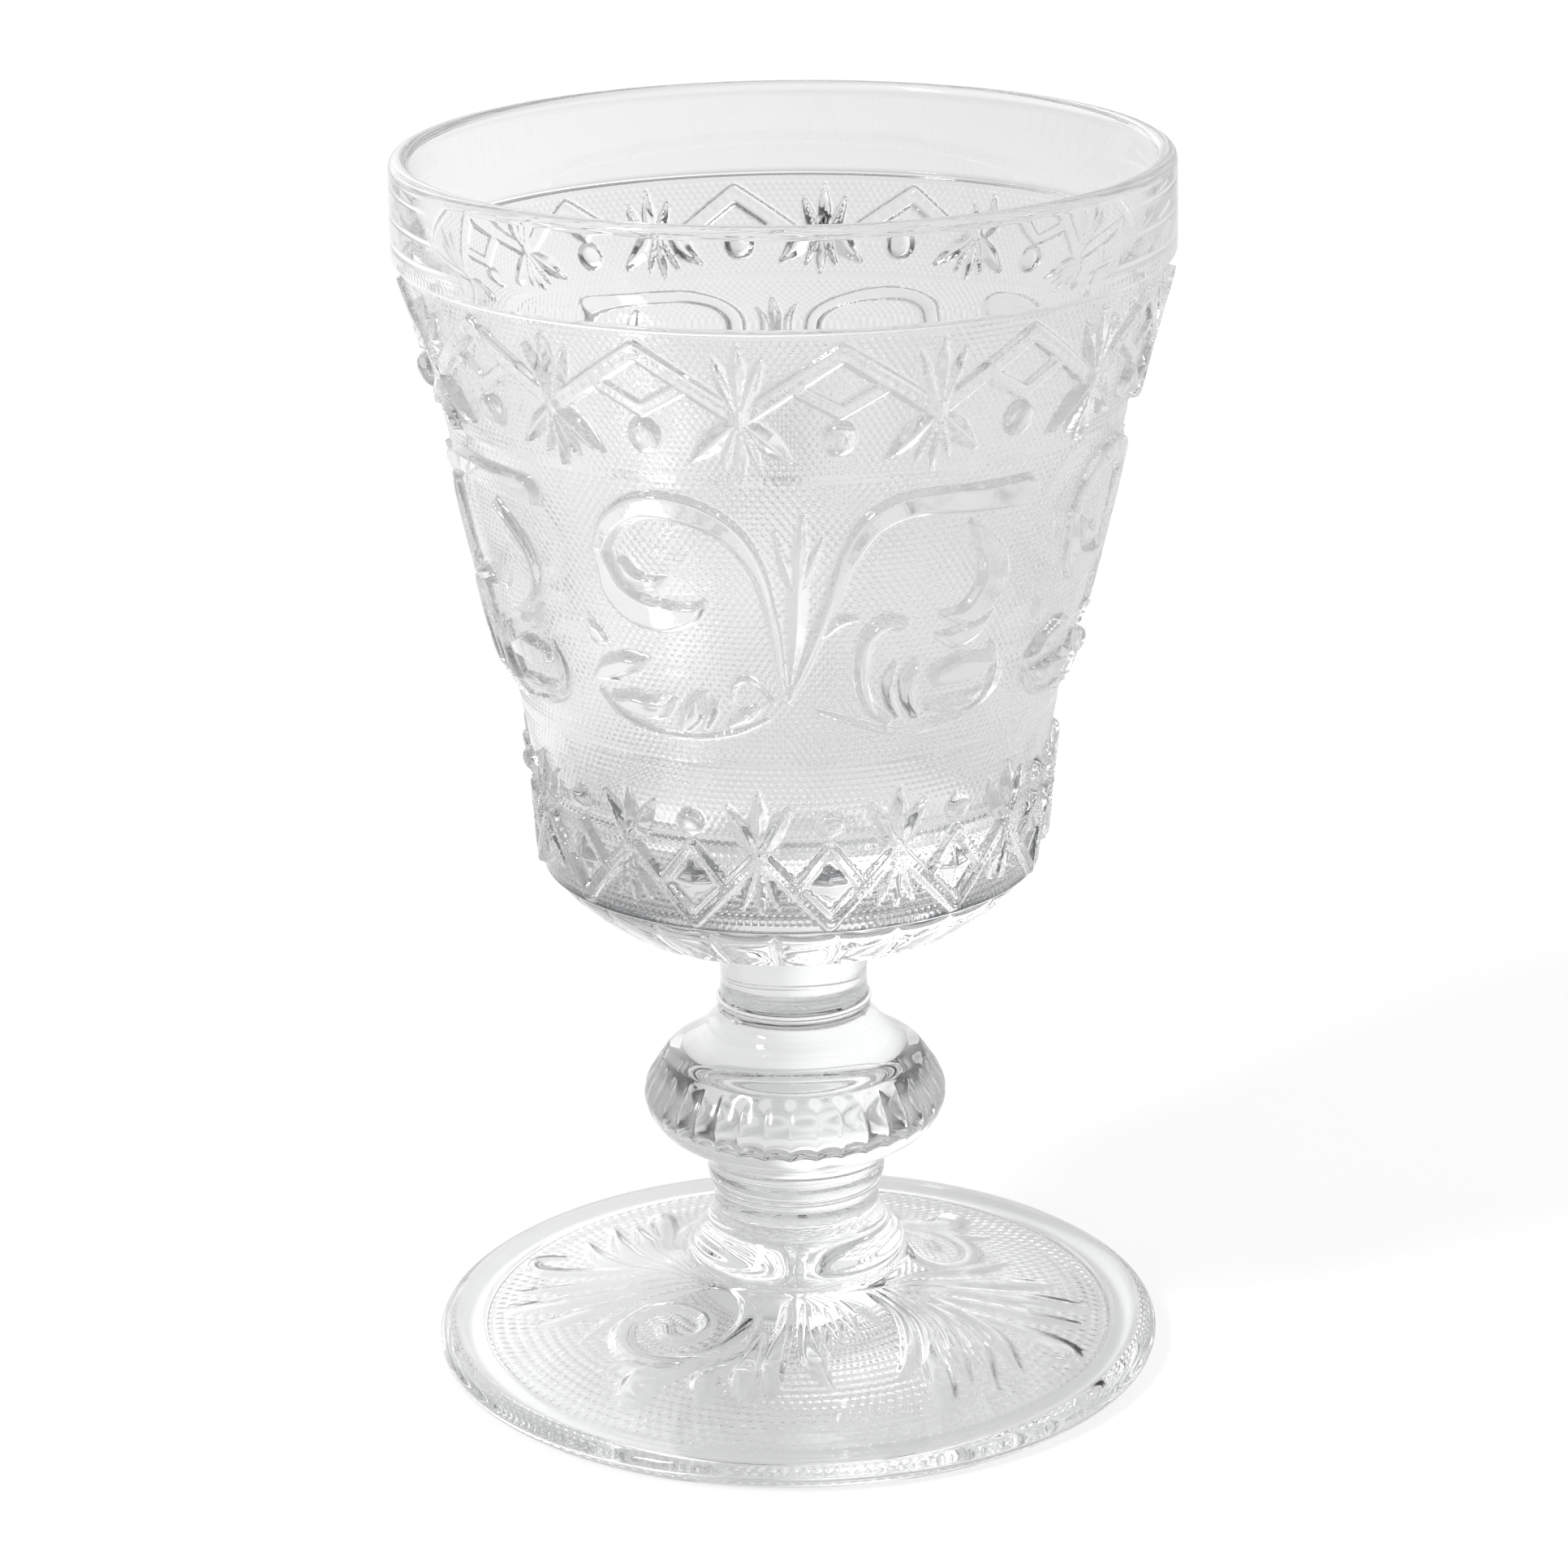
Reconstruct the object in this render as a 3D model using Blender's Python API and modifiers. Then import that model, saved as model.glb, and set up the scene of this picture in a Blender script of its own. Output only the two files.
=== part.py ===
# Wine goblet of clear pressed glass, standing on the world origin with its axis along +Z.
# Six turned sections stand one on another: foot, bell-shaped lower stem, ribbed knop, waisted neck,
# faceted collar and hollow bowl with its pressed ornament. Radii and heights are real sizes in metres.

import math

import bmesh
import bpy
import numpy as np

MM = 0.001

# Gap left at each fused joint, where two sections of glass meet
JOINT_GAP = 0.3 * MM

# Segments round a turned section
ROUND_STEPS = 64
# Points along one curved stretch of a profile
CURVE_POINTS = 5
# Points along the bowl wall inside
WALL_POINTS = 8
# Points along one rounded edge
EDGE_POINTS = 3
MERGE_DISTANCE = 0.005 * MM

# Tints of the glass, clear where it is thin and greyer where it is thick
CLEAR_GLASS = (0.93, 0.94, 0.94)
THICK_GLASS = (0.90, 0.92, 0.92)

# Foot
FOOT_RADIUS = 42.3 * MM
FOOT_EDGE_HEIGHT = 3.1 * MM
FOOT_EDGE_ROUND = 0.8 * MM
FOOT_BAND_WIDTH = 6.2 * MM
FOOT_BAND_RISE = 0.6 * MM
FOOT_SWEEP_RISE = 6.9 * MM
FOOT_EDGE_LIFT = 0.4 * MM
REST_RING_WIDTH = 4.6 * MM
REST_RING_INSET = 1.4 * MM
FOOT_HOLLOW_STEP = 0.7 * MM
FOOT_HOLLOW_RISE = 2.2 * MM

# Lower stem
BELL_RADIUS = 12.8 * MM
BELL_LIP_HEIGHT = 1.4 * MM
BELL_HEIGHT = 7.6 * MM
SHANK_RADIUS = 9.6 * MM
SHANK_HEIGHT = 2.4 * MM
SHANK_RING_RADIUS = 10.3 * MM
SHANK_RING_HEIGHT = 1.5 * MM

# Knop
KNOP_RADIUS = 17.5 * MM
KNOP_UNDERSIDE_HEIGHT = 8.4 * MM
KNOP_UPPER_HEIGHT = 5.2 * MM
KNOP_SHOULDER_HEIGHT = 3.8 * MM
KNOP_RIDGE_SET_IN = 2.3 * MM
RIB_COUNT = 36
RIB_DEPTH = 0.8 * MM
RIB_CREST_MARGIN = 0.12 * MM
RIB_POINTS = 6

# Neck
NECK_HEIGHT = 12.6 * MM
NECK_RADIUS = 8.5 * MM
NECK_FOOT_RADIUS = 9.8 * MM
NECK_HEAD_RADIUS = 9.6 * MM

# Collar
COLLAR_HEIGHT = 7.0 * MM
COLLAR_FACETS = 24
COLLAR_LOWER_RADIUS = 21.2 * MM
COLLAR_UNDERCUT = 0.8 * MM
COLLAR_SET_IN = 1.2 * MM

# Bowl
BOWL_WALL_HEIGHT = 70.0 * MM
BOWL_BASE_RADIUS = 28.6 * MM
BOWL_BASE_ROUND = 1.2 * MM
BOWL_FLOOR = 6.4 * MM
BOWL_FLOOR_CORNER = 8.6 * MM
BOWL_WALL = 3.0 * MM
RIM_RADIUS = 43.2 * MM
RIM_WALL = 2.3 * MM
RIM_BAND_HEIGHT = 11.4 * MM
RIM_BAND_STEP = 0.7 * MM
WALL_LOWER_PULL_OUT = 1.0 * MM
WALL_UPPER_PULL_IN = 5.6 * MM

# Ornament pressed on the bowl's wall, in three friezes of repeated units. A stroke is a path of points
# (degrees from the unit's middle, share of the wall's height), its half width and its height. The strokes
# of a pair lie on both sides of the middle. A turn is the angle of the first unit's middle from the front.
RELIEF_STEPS = 288
RELIEF_ROWS = 72
RELIEF_FACE_SHARE = 0.15
STROKE_POINTS = 4
STROKE_END_SHARE = 0.4
STROKE_CREST = 3
WALL_TOLERANCE = 0.05 * MM
SCROLL_HEIGHT = 1.3 * MM
STRAP_HEIGHT = 0.85 * MM
LEAF_HEIGHT = 1.1 * MM
PEARL_HEIGHT = 1.5 * MM
SCROLL_FRIEZE = {
    "units": 4,
    "turn": 2.2,
    "strokes": [
        # long band to the right of the plume, and the crescent under it
        ([(-2.4, 0.4), (3.6, 0.506), (9.2, 0.624), (19.3, 0.704), (30.0, 0.713), (42.6, 0.7)],
         1.6 * MM, SCROLL_HEIGHT),
        ([(31.7, 0.666), (36.0, 0.596), (32.2, 0.526), (25.4, 0.527)], 1.9 * MM, SCROLL_HEIGHT),
        # volute to its left, and the curl that the volute ends in
        ([(-3.6, 0.413), (-4.3, 0.533), (-6.1, 0.614), (-16.8, 0.7), (-24.0, 0.714), (-33.8, 0.661)],
         1.5 * MM, SCROLL_HEIGHT),
        ([(-33.8, 0.661), (-32.6, 0.59), (-27.8, 0.541), (-22.6, 0.531), (-14.2, 0.567)],
         2.3 * MM, SCROLL_HEIGHT),
        # plume
        ([(0.2, 0.706), (-0.9, 0.57), (-2.4, 0.43)], 1.1 * MM, LEAF_HEIGHT),
    ],
    "pairs": [
        # lower edge of the leaf, and its lobes from the plume outwards
        ([(42.6, 0.509), (39.6, 0.401), (30.0, 0.344), (24.0, 0.331), (10.8, 0.363), (5.0, 0.381)],
         1.1 * MM, SCROLL_HEIGHT),
        ([(18.4, 0.52), (11.3, 0.467), (14.2, 0.367)], 1.5 * MM, SCROLL_HEIGHT),
        ([(23.0, 0.466), (16.2, 0.42), (18.5, 0.367)], 1.3 * MM, SCROLL_HEIGHT),
        ([(28.2, 0.454), (21.5, 0.4), (23.5, 0.357)], 1.2 * MM, SCROLL_HEIGHT),
        ([(34.9, 0.451), (27.5, 0.411), (29.5, 0.364)], 1.3 * MM, SCROLL_HEIGHT),
        ([(40.2, 0.437), (34.6, 0.403), (36.6, 0.377)], 1.2 * MM, SCROLL_HEIGHT),
    ],
}
ARCH_FRIEZE = {
    "units": 12,
    "turn": -6.9,
    "strokes": [
        # upright and hanging leaf of the fleuron
        ([(0.0, 0.867), (0.0, 0.93), (0.0, 0.985)], 1.1 * MM, LEAF_HEIGHT),
        ([(0.0, 0.867), (0.0, 0.81), (0.0, 0.77)], 0.9 * MM, LEAF_HEIGHT),
    ],
    "pairs": [
        # strap up to the point between two units, small strap that hangs from it, pearl, and side leaves
        ([(0.0, 0.867), (15.0, 0.971)], 1.1 * MM, STRAP_HEIGHT),
        ([(7.5, 0.919), (15.0, 0.876)], 0.9 * MM, STRAP_HEIGHT),
        ([(15.0, 0.831), (15.0, 0.837)], 1.9 * MM, PEARL_HEIGHT),
        ([(0.0, 0.867), (2.5, 0.925), (4.2, 0.97)], 1.0 * MM, LEAF_HEIGHT),
        ([(0.0, 0.867), (4.5, 0.82), (7.6, 0.785)], 1.3 * MM, LEAF_HEIGHT),
    ],
}
LOZENGE_FRIEZE = {
    "units": 12,
    "turn": -6.8,
    "strokes": [
        # upright and hanging leaf of the fleuron
        ([(0.0, 0.131), (0.0, 0.19), (0.0, 0.237)], 1.1 * MM, LEAF_HEIGHT),
        ([(0.0, 0.131), (0.0, 0.08), (0.0, 0.04)], 1.0 * MM, LEAF_HEIGHT),
    ],
    "pairs": [
        # lower and upper side of the lozenge between two units, pearl, and side leaves
        ([(0.0, 0.131), (15.0, 0.03)], 0.9 * MM, STRAP_HEIGHT),
        ([(7.5, 0.08), (15.0, 0.143)], 0.8 * MM, STRAP_HEIGHT),
        ([(15.0, 0.181), (15.0, 0.187)], 1.6 * MM, PEARL_HEIGHT),
        ([(0.0, 0.131), (4.0, 0.18), (6.5, 0.214)], 1.1 * MM, LEAF_HEIGHT),
    ],
}

# Pull points that bend the profiles, as shares of the stretch that each one bends: one share,
# or one across and one up
FOOT_SWEEP_PULL = (0.45, 0.25)
FOOT_HOLLOW_PULL = 0.5
BELL_UPPER_PULL = 0.55
BELL_LOWER_PULL = 0.5
RING_ROUND_SHARE = 0.3
SHOULDER_PULL = (0.5, 0.45)
KNOP_UPPER_PULL = 0.55
KNOP_BELLY_PULL = 0.5
KNOP_UNDERSIDE_PULL = (0.35, 0.28)
NECK_WAIST_TOP = 0.6
NECK_WAIST_FOOT = 0.45
NECK_HEAD_PULL = 0.8
NECK_COVE_PULL = 0.15
COLLAR_UPPER_PULL = 0.75
COLLAR_LOWER_PULL = (0.35, 0.3)
WALL_LOWER_PULL = 0.33
WALL_UPPER_PULL = 0.67
FLOOR_CORNER_RISE = 0.6
INNER_PULL_LIFT = 0.5
EDGE_ROUND_LIMIT = 0.4

# Heights of whole sections, from their stretches
FOOT_HEIGHT = FOOT_EDGE_HEIGHT + FOOT_BAND_RISE + FOOT_SWEEP_RISE
LOWER_STEM_HEIGHT = BELL_HEIGHT + SHANK_HEIGHT + SHANK_RING_HEIGHT
KNOP_RIDGE_HEIGHT = KNOP_UNDERSIDE_HEIGHT + KNOP_UPPER_HEIGHT
KNOP_HEIGHT = KNOP_RIDGE_HEIGHT + KNOP_SHOULDER_HEIGHT
BOWL_HEIGHT = BOWL_WALL_HEIGHT + RIM_BAND_HEIGHT

# Radii that follow a neighbour
KNOP_RIDGE_RADIUS = KNOP_RADIUS - KNOP_RIDGE_SET_IN
COLLAR_UPPER_RADIUS = BOWL_BASE_RADIUS - COLLAR_SET_IN

# Sections stack upwards, one joint gap apart
LOWER_STEM_BASE = FOOT_HEIGHT + JOINT_GAP
KNOP_BASE = LOWER_STEM_BASE + LOWER_STEM_HEIGHT + JOINT_GAP
NECK_BASE = KNOP_BASE + KNOP_HEIGHT + JOINT_GAP
COLLAR_BASE = NECK_BASE + NECK_HEIGHT + JOINT_GAP
BOWL_BASE = COLLAR_BASE + COLLAR_HEIGHT + JOINT_GAP


def bezier(points, count=CURVE_POINTS):
    """Points on the curve that the two ends and their pull points give, ends included."""
    order = len(points) - 1
    curve = []
    for step in range(count + 1):
        t = step / count
        weights = [math.comb(order, k) * t ** k * (1 - t) ** (order - k) for k in range(order + 1)]
        curve.append(tuple(sum(w * p[axis] for w, p in zip(weights, points)) for axis in (0, 1)))
    return curve


def arc(centre, radius, start, end, count=EDGE_POINTS):
    """Points on a circle of a profile, between two angles in degrees measured from outwards to upwards."""
    angles = [math.radians(start + (end - start) * step / count) for step in range(count + 1)]
    return [(centre[0] + radius * math.cos(a), centre[1] + radius * math.sin(a)) for a in angles]


def between(low, high, share):
    """The value that lies a share of the way from low to high."""
    return low + share * (high - low)


def glass_material(name, colour, roughness):
    """Clear glass with its own tint and surface."""
    material = bpy.data.materials.new(name)
    material.use_nodes = True
    shader = material.node_tree.nodes["Principled BSDF"]
    shader.inputs["Base Color"].default_value = (*colour, 1.0)
    shader.inputs["Roughness"].default_value = roughness
    shader.inputs["Metallic"].default_value = 0.0
    shader.inputs["IOR"].default_value = 1.52
    shader.inputs["Transmission Weight"].default_value = 1.0
    return material


def turned(name, profile, base, steps, collection, material, parent):
    """A section turned about Z from its profile of (radius, height) points, at its height on the axis."""
    mesh = bpy.data.meshes.new(name)
    edges = [(i, i + 1) for i in range(len(profile) - 1)]
    mesh.from_pydata([(radius, 0.0, height) for radius, height in profile], edges, [])
    mesh.materials.append(material)
    section = bpy.data.objects.new(name, mesh)
    collection.objects.link(section)
    section.parent = parent
    section.location = (0.0, 0.0, base)
    screw = section.modifiers.new("turn", "SCREW")
    screw.axis = "Z"
    screw.steps = steps
    screw.render_steps = steps
    screw.use_merge_vertices = True
    screw.merge_threshold = MERGE_DISTANCE
    screw.use_smooth_shade = True
    return section


def foot_profile():
    """Seat for the stem, swept top, plain outer band, rounded edge, rest ring and the hollow underneath."""
    edge_round = min(FOOT_EDGE_ROUND, EDGE_ROUND_LIMIT * FOOT_EDGE_HEIGHT)
    band_inner = FOOT_RADIUS - FOOT_BAND_WIDTH
    band_height = FOOT_EDGE_HEIGHT + FOOT_BAND_RISE
    sweep_pull = (between(BELL_RADIUS, band_inner, FOOT_SWEEP_PULL[0]),
                  between(band_height, FOOT_HEIGHT, FOOT_SWEEP_PULL[1]))
    sweep = bezier([(BELL_RADIUS, FOOT_HEIGHT), sweep_pull, (band_inner, band_height)])
    ring_outer = FOOT_RADIUS - REST_RING_INSET
    ring_inner = ring_outer - REST_RING_WIDTH
    hollow_radius = ring_inner - FOOT_HOLLOW_STEP
    hollow_crown = FOOT_HOLLOW_STEP + FOOT_HOLLOW_RISE
    hollow = bezier([(hollow_radius, FOOT_HOLLOW_STEP), (FOOT_HOLLOW_PULL * hollow_radius, hollow_crown),
                     (0.0, hollow_crown)])
    edge_centre = FOOT_RADIUS - edge_round
    upper_edge = arc((edge_centre, FOOT_EDGE_HEIGHT - edge_round), edge_round, 90, 0)
    lower_edge = arc((edge_centre, FOOT_EDGE_LIFT + edge_round), edge_round, 0, -60)
    rest_ring = [(ring_outer, 0.0), (ring_inner, 0.0)]
    return [(0.0, FOOT_HEIGHT), *sweep, *upper_edge, *lower_edge, *rest_ring, *hollow]


def lower_stem_profile():
    """A ring under the knop, a short shank and the bell that opens onto the foot."""
    ring_foot = BELL_HEIGHT + SHANK_HEIGHT
    ring_round = RING_ROUND_SHARE * SHANK_RING_HEIGHT
    bell = bezier([(SHANK_RADIUS, BELL_HEIGHT), (SHANK_RADIUS, BELL_UPPER_PULL * BELL_HEIGHT),
                   (BELL_RADIUS, BELL_LOWER_PULL * BELL_HEIGHT), (BELL_RADIUS, BELL_LIP_HEIGHT)])
    return [(0.0, LOWER_STEM_HEIGHT), (SHANK_RING_RADIUS - ring_round, LOWER_STEM_HEIGHT),
            (SHANK_RING_RADIUS, LOWER_STEM_HEIGHT - ring_round), (SHANK_RING_RADIUS, ring_foot + ring_round),
            (SHANK_RADIUS, ring_foot), *bell, (BELL_RADIUS, 0.0), (0.0, 0.0)]


def knop_profile():
    """Sloping shoulder down to the ridge, the full belly and the underside drawn in to the shank."""
    shoulder_pull = (between(NECK_FOOT_RADIUS, KNOP_RIDGE_RADIUS, SHOULDER_PULL[0]),
                     between(KNOP_RIDGE_HEIGHT, KNOP_HEIGHT, SHOULDER_PULL[1]))
    ridge = (KNOP_RIDGE_RADIUS, KNOP_RIDGE_HEIGHT)
    shoulder = bezier([(NECK_FOOT_RADIUS, KNOP_HEIGHT), shoulder_pull, ridge])
    upper_pull = (KNOP_RADIUS, between(KNOP_UNDERSIDE_HEIGHT, KNOP_RIDGE_HEIGHT, KNOP_UPPER_PULL))
    belly = (KNOP_RADIUS, KNOP_UNDERSIDE_HEIGHT)
    upper_belly = bezier([ridge, upper_pull, belly])
    underside_pull = (between(SHANK_RING_RADIUS, KNOP_RADIUS, KNOP_UNDERSIDE_PULL[0]),
                      KNOP_UNDERSIDE_PULL[1] * KNOP_UNDERSIDE_HEIGHT)
    lower_belly = bezier([belly, (KNOP_RADIUS, KNOP_BELLY_PULL * KNOP_UNDERSIDE_HEIGHT),
                          underside_pull, (SHANK_RING_RADIUS, 0.0)])
    return [(0.0, KNOP_HEIGHT), *shoulder, *upper_belly[1:], *lower_belly[1:], (0.0, 0.0)]


def neck_profile():
    """A waisted spool, wider at the knop and at the collar."""
    waist_foot = (NECK_RADIUS, NECK_WAIST_FOOT * NECK_HEIGHT)
    spool = bezier([(NECK_HEAD_RADIUS, NECK_HEIGHT), (NECK_RADIUS, NECK_HEAD_PULL * NECK_HEIGHT),
                    (NECK_RADIUS, NECK_WAIST_TOP * NECK_HEIGHT), waist_foot])
    cove = bezier([waist_foot, (NECK_RADIUS, NECK_COVE_PULL * NECK_HEIGHT), (NECK_FOOT_RADIUS, 0.0)])
    return [(0.0, NECK_HEIGHT), *spool, *cove[1:], (0.0, 0.0)]


def collar_profile():
    """A shallow dish: flat top under the bowl, swelling wall of facets, underside rising to its edge."""
    lower_pull = (between(COLLAR_LOWER_RADIUS, COLLAR_UPPER_RADIUS, COLLAR_LOWER_PULL[0]),
                  COLLAR_LOWER_PULL[1] * COLLAR_HEIGHT)
    upper_pull = (COLLAR_UPPER_RADIUS, COLLAR_UPPER_PULL * COLLAR_HEIGHT)
    wall = bezier([(COLLAR_UPPER_RADIUS, COLLAR_HEIGHT), upper_pull, lower_pull,
                   (COLLAR_LOWER_RADIUS, COLLAR_UNDERCUT)])
    return [(0.0, COLLAR_HEIGHT), *wall, (NECK_HEAD_RADIUS, 0.0), (0.0, 0.0)]


def wall_pulls():
    """The outer wall's ends and pull points, from the rim band down to the base."""
    wall_top = (RIM_RADIUS - RIM_BAND_STEP, BOWL_WALL_HEIGHT - RIM_BAND_STEP)
    upper_pull = (wall_top[0] - WALL_UPPER_PULL_IN, WALL_UPPER_PULL * BOWL_WALL_HEIGHT)
    lower_pull = (BOWL_BASE_RADIUS + WALL_LOWER_PULL_OUT, WALL_LOWER_PULL * BOWL_WALL_HEIGHT)
    return [wall_top, upper_pull, lower_pull, (BOWL_BASE_RADIUS, BOWL_BASE_ROUND)]


def bowl_profile():
    """Smooth inside from the floor up to the lip, the rounded lip, the plain rim band and the outer wall."""
    band_foot = BOWL_WALL_HEIGHT
    _, upper_pull, lower_pull, _ = wall_pulls()
    outside = bezier(wall_pulls(), RELIEF_ROWS)
    lip_round = RIM_WALL / 2
    lip = arc((RIM_RADIUS - lip_round, BOWL_HEIGHT - lip_round), lip_round, 180, 0, 2 * EDGE_POINTS)
    inner_rim = (RIM_RADIUS - RIM_WALL, band_foot)
    inner_radius = BOWL_BASE_RADIUS - BOWL_WALL
    floor_radius = inner_radius - BOWL_FLOOR_CORNER
    inner_foot = (inner_radius, BOWL_FLOOR + FLOOR_CORNER_RISE * BOWL_FLOOR_CORNER)
    inner_pull = (lower_pull[0] - BOWL_WALL, lower_pull[1] + INNER_PULL_LIFT * inner_foot[1])
    inside_pulls = [inner_pull, (upper_pull[0] - BOWL_WALL, upper_pull[1])]
    inside = bezier([inner_foot, *inside_pulls, inner_rim], WALL_POINTS)
    floor = bezier([(floor_radius, BOWL_FLOOR), (inner_radius, BOWL_FLOOR), inner_foot])
    base = arc((BOWL_BASE_RADIUS - BOWL_BASE_ROUND, BOWL_BASE_ROUND), BOWL_BASE_ROUND, 0, -90)
    hollow = [(0.0, BOWL_FLOOR), *floor, *inside[1:]]
    return [*hollow, *lip, (RIM_RADIUS, band_foot), *outside, *base[1:], (0.0, 0.0)]


def rib_cutter(collection, parent):
    """An upright prism whose scalloped outline leaves rounded ribs where the knop's belly reaches it."""
    crest = KNOP_RADIUS + RIB_CREST_MARGIN
    outline_points = RIB_COUNT * RIB_POINTS
    shape = bmesh.new()
    bmesh.ops.create_circle(shape, cap_ends=True, segments=outline_points, radius=crest)
    for vertex in shape.verts:
        turn = math.atan2(vertex.co.y, vertex.co.x)
        radius = crest - RIB_DEPTH * (1 - abs(math.cos(RIB_COUNT * turn / 2)))
        vertex.co.x = radius * math.cos(turn)
        vertex.co.y = radius * math.sin(turn)
        vertex.co.z = -KNOP_HEIGHT
    raised = bmesh.ops.extrude_face_region(shape, geom=shape.faces[:])
    lifted = [item for item in raised["geom"] if isinstance(item, bmesh.types.BMVert)]
    bmesh.ops.translate(shape, vec=(0.0, 0.0, 3 * KNOP_HEIGHT), verts=lifted)
    bmesh.ops.recalc_face_normals(shape, faces=shape.faces[:])
    mesh = bpy.data.meshes.new("rib_cutter")
    shape.to_mesh(mesh)
    shape.free()
    cutter = bpy.data.objects.new("rib_cutter", mesh)
    collection.objects.link(cutter)
    cutter.parent = parent
    cutter.location = (0.0, 0.0, KNOP_BASE)
    cutter.hide_render = True
    cutter.display_type = "WIRE"
    return cutter


def smooth_path(points):
    """Points on a curve that runs smoothly through the given ones."""
    if len(points) == 2:
        return np.array(points)
    knots = np.array([points[0], *points, points[-1]])
    path = []
    for before, start, end, after in zip(knots[:-3], knots[1:-2], knots[2:-1], knots[3:]):
        for t in np.arange(STROKE_POINTS) / STROKE_POINTS:
            bend = t ** 2 * (before - 2.5 * start + 2 * end - after / 2)
            swing = t ** 3 * (1.5 * (start - end) + (after - before) / 2)
            path.append(start + t * (end - before) / 2 + bend + swing)
    return np.array([*path, knots[-1]])


def stroke_relief(across, up, path, half_width, height):
    """Height of one stroke at points on the wall: flat along its path, rounded off at its edges."""
    widths = np.full(len(path), half_width)
    if len(path) > 2:
        along = np.linspace(0, math.pi, len(path))
        widths *= STROKE_END_SHARE + (1 - STROKE_END_SHARE) * np.sin(along)
    share = np.full(across.shape, 1.0)
    for start, end, width in zip(path[:-1], path[1:], (widths[:-1] + widths[1:]) / 2):
        run = end - start
        t = np.clip(((across - start[0]) * run[0] + (up - start[1]) * run[1]) / (run @ run), 0, 1)
        away = np.hypot(across - start[0] - t * run[0], up - start[1] - t * run[1])
        share = np.minimum(share, away / width)
    return height * (1 - share ** STROKE_CREST)


def frieze_relief(frieze, turn, up, wall_radius):
    """Height of a whole frieze at points on the wall, given by their turn in degrees and their height."""
    unit = 360 / frieze["units"]
    local = (turn - frieze["turn"] + unit / 2) % unit - unit / 2
    across = np.radians(local) * wall_radius(up)
    relief = np.zeros(turn.shape)
    for sides, strokes in (((1,), frieze["strokes"]), ((1, -1), frieze["pairs"])):
        for points, half_width, height in strokes:
            for side in sides:
                path = smooth_path([(side * degrees, share * BOWL_WALL_HEIGHT) for degrees, share in points])
                path[:, 0] = np.radians(path[:, 0]) * wall_radius(path[:, 1])
                relief = np.maximum(relief, stroke_relief(across, up, path, half_width, height))
    return relief


def press_ornament(bowl):
    """Raises the three friezes on the bowl's outer wall, then thins out the faces of the smooth parts."""
    mesh = bpy.data.meshes.new_from_object(bowl.evaluated_get(bpy.context.evaluated_depsgraph_get()))
    bowl.modifiers.clear()
    bowl.data = mesh
    outside = np.array(bezier(wall_pulls(), RELIEF_ROWS))[::-1]

    def wall_radius(height):
        return np.interp(height, outside[:, 1], outside[:, 0])

    points = np.array([vertex.co for vertex in mesh.vertices])
    radius = np.hypot(points[:, 0], points[:, 1])
    height = points[:, 2]
    on_wall = (np.abs(radius - wall_radius(height)) < WALL_TOLERANCE) & (height > outside[0, 1])
    on_wall &= height < outside[-1, 1]
    turn = np.degrees(np.arctan2(points[on_wall, 0], -points[on_wall, 1]))
    relief = np.zeros(turn.shape)
    for frieze in (SCROLL_FRIEZE, ARCH_FRIEZE, LOZENGE_FRIEZE):
        relief = np.maximum(relief, frieze_relief(frieze, turn, height[on_wall], wall_radius))
    points[on_wall, :2] *= (1 + relief / radius[on_wall])[:, None]
    mesh.vertices.foreach_set("co", points.ravel())
    mesh.update()
    thin = bowl.modifiers.new("thin", "DECIMATE")
    thin.ratio = RELIEF_FACE_SHARE


def build_goblet():
    """Every section of the goblet, on one empty at the centre of the rest plane."""
    for item in list(bpy.data.objects):
        bpy.data.objects.remove(item)
    sections = bpy.data.collections.new("wine_goblet")
    cutters = bpy.data.collections.new("wine_goblet_cutters")
    bpy.context.scene.collection.children.link(sections)
    bpy.context.scene.collection.children.link(cutters)
    axis = bpy.data.objects.new("goblet_axis", None)
    sections.objects.link(axis)

    stippled = glass_material("bowl_glass", CLEAR_GLASS, 0.06)
    petalled = glass_material("collar_glass", CLEAR_GLASS, 0.04)
    waisted = glass_material("neck_glass", CLEAR_GLASS, 0.03)
    ribbed = glass_material("knop_glass", THICK_GLASS, 0.03)
    ringed = glass_material("lower_stem_glass", THICK_GLASS, 0.03)
    swept = glass_material("foot_glass", THICK_GLASS, 0.06)
    turned("foot", foot_profile(), 0.0, ROUND_STEPS, sections, swept, axis)
    turned("lower_stem", lower_stem_profile(), LOWER_STEM_BASE, ROUND_STEPS, sections, ringed, axis)
    knop = turned("knop", knop_profile(), KNOP_BASE, ROUND_STEPS, sections, ribbed, axis)
    turned("neck", neck_profile(), NECK_BASE, ROUND_STEPS, sections, waisted, axis)
    collar = turned("collar", collar_profile(), COLLAR_BASE, COLLAR_FACETS, sections, petalled, axis)
    collar.modifiers["turn"].use_smooth_shade = False
    press_ornament(turned("bowl", bowl_profile(), BOWL_BASE, RELIEF_STEPS, sections, stippled, axis))

    ribs = knop.modifiers.new("ribs", "BOOLEAN")
    ribs.operation = "INTERSECT"
    ribs.solver = "EXACT"
    ribs.object = rib_cutter(cutters, axis)


build_goblet()
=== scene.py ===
# Wine goblet of clear pressed glass: relief bowl, petalled collar, ribbed knop, leaves under the foot
import math

import bmesh
import bpy
import numpy as np
from mathutils import Matrix, Vector


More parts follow.
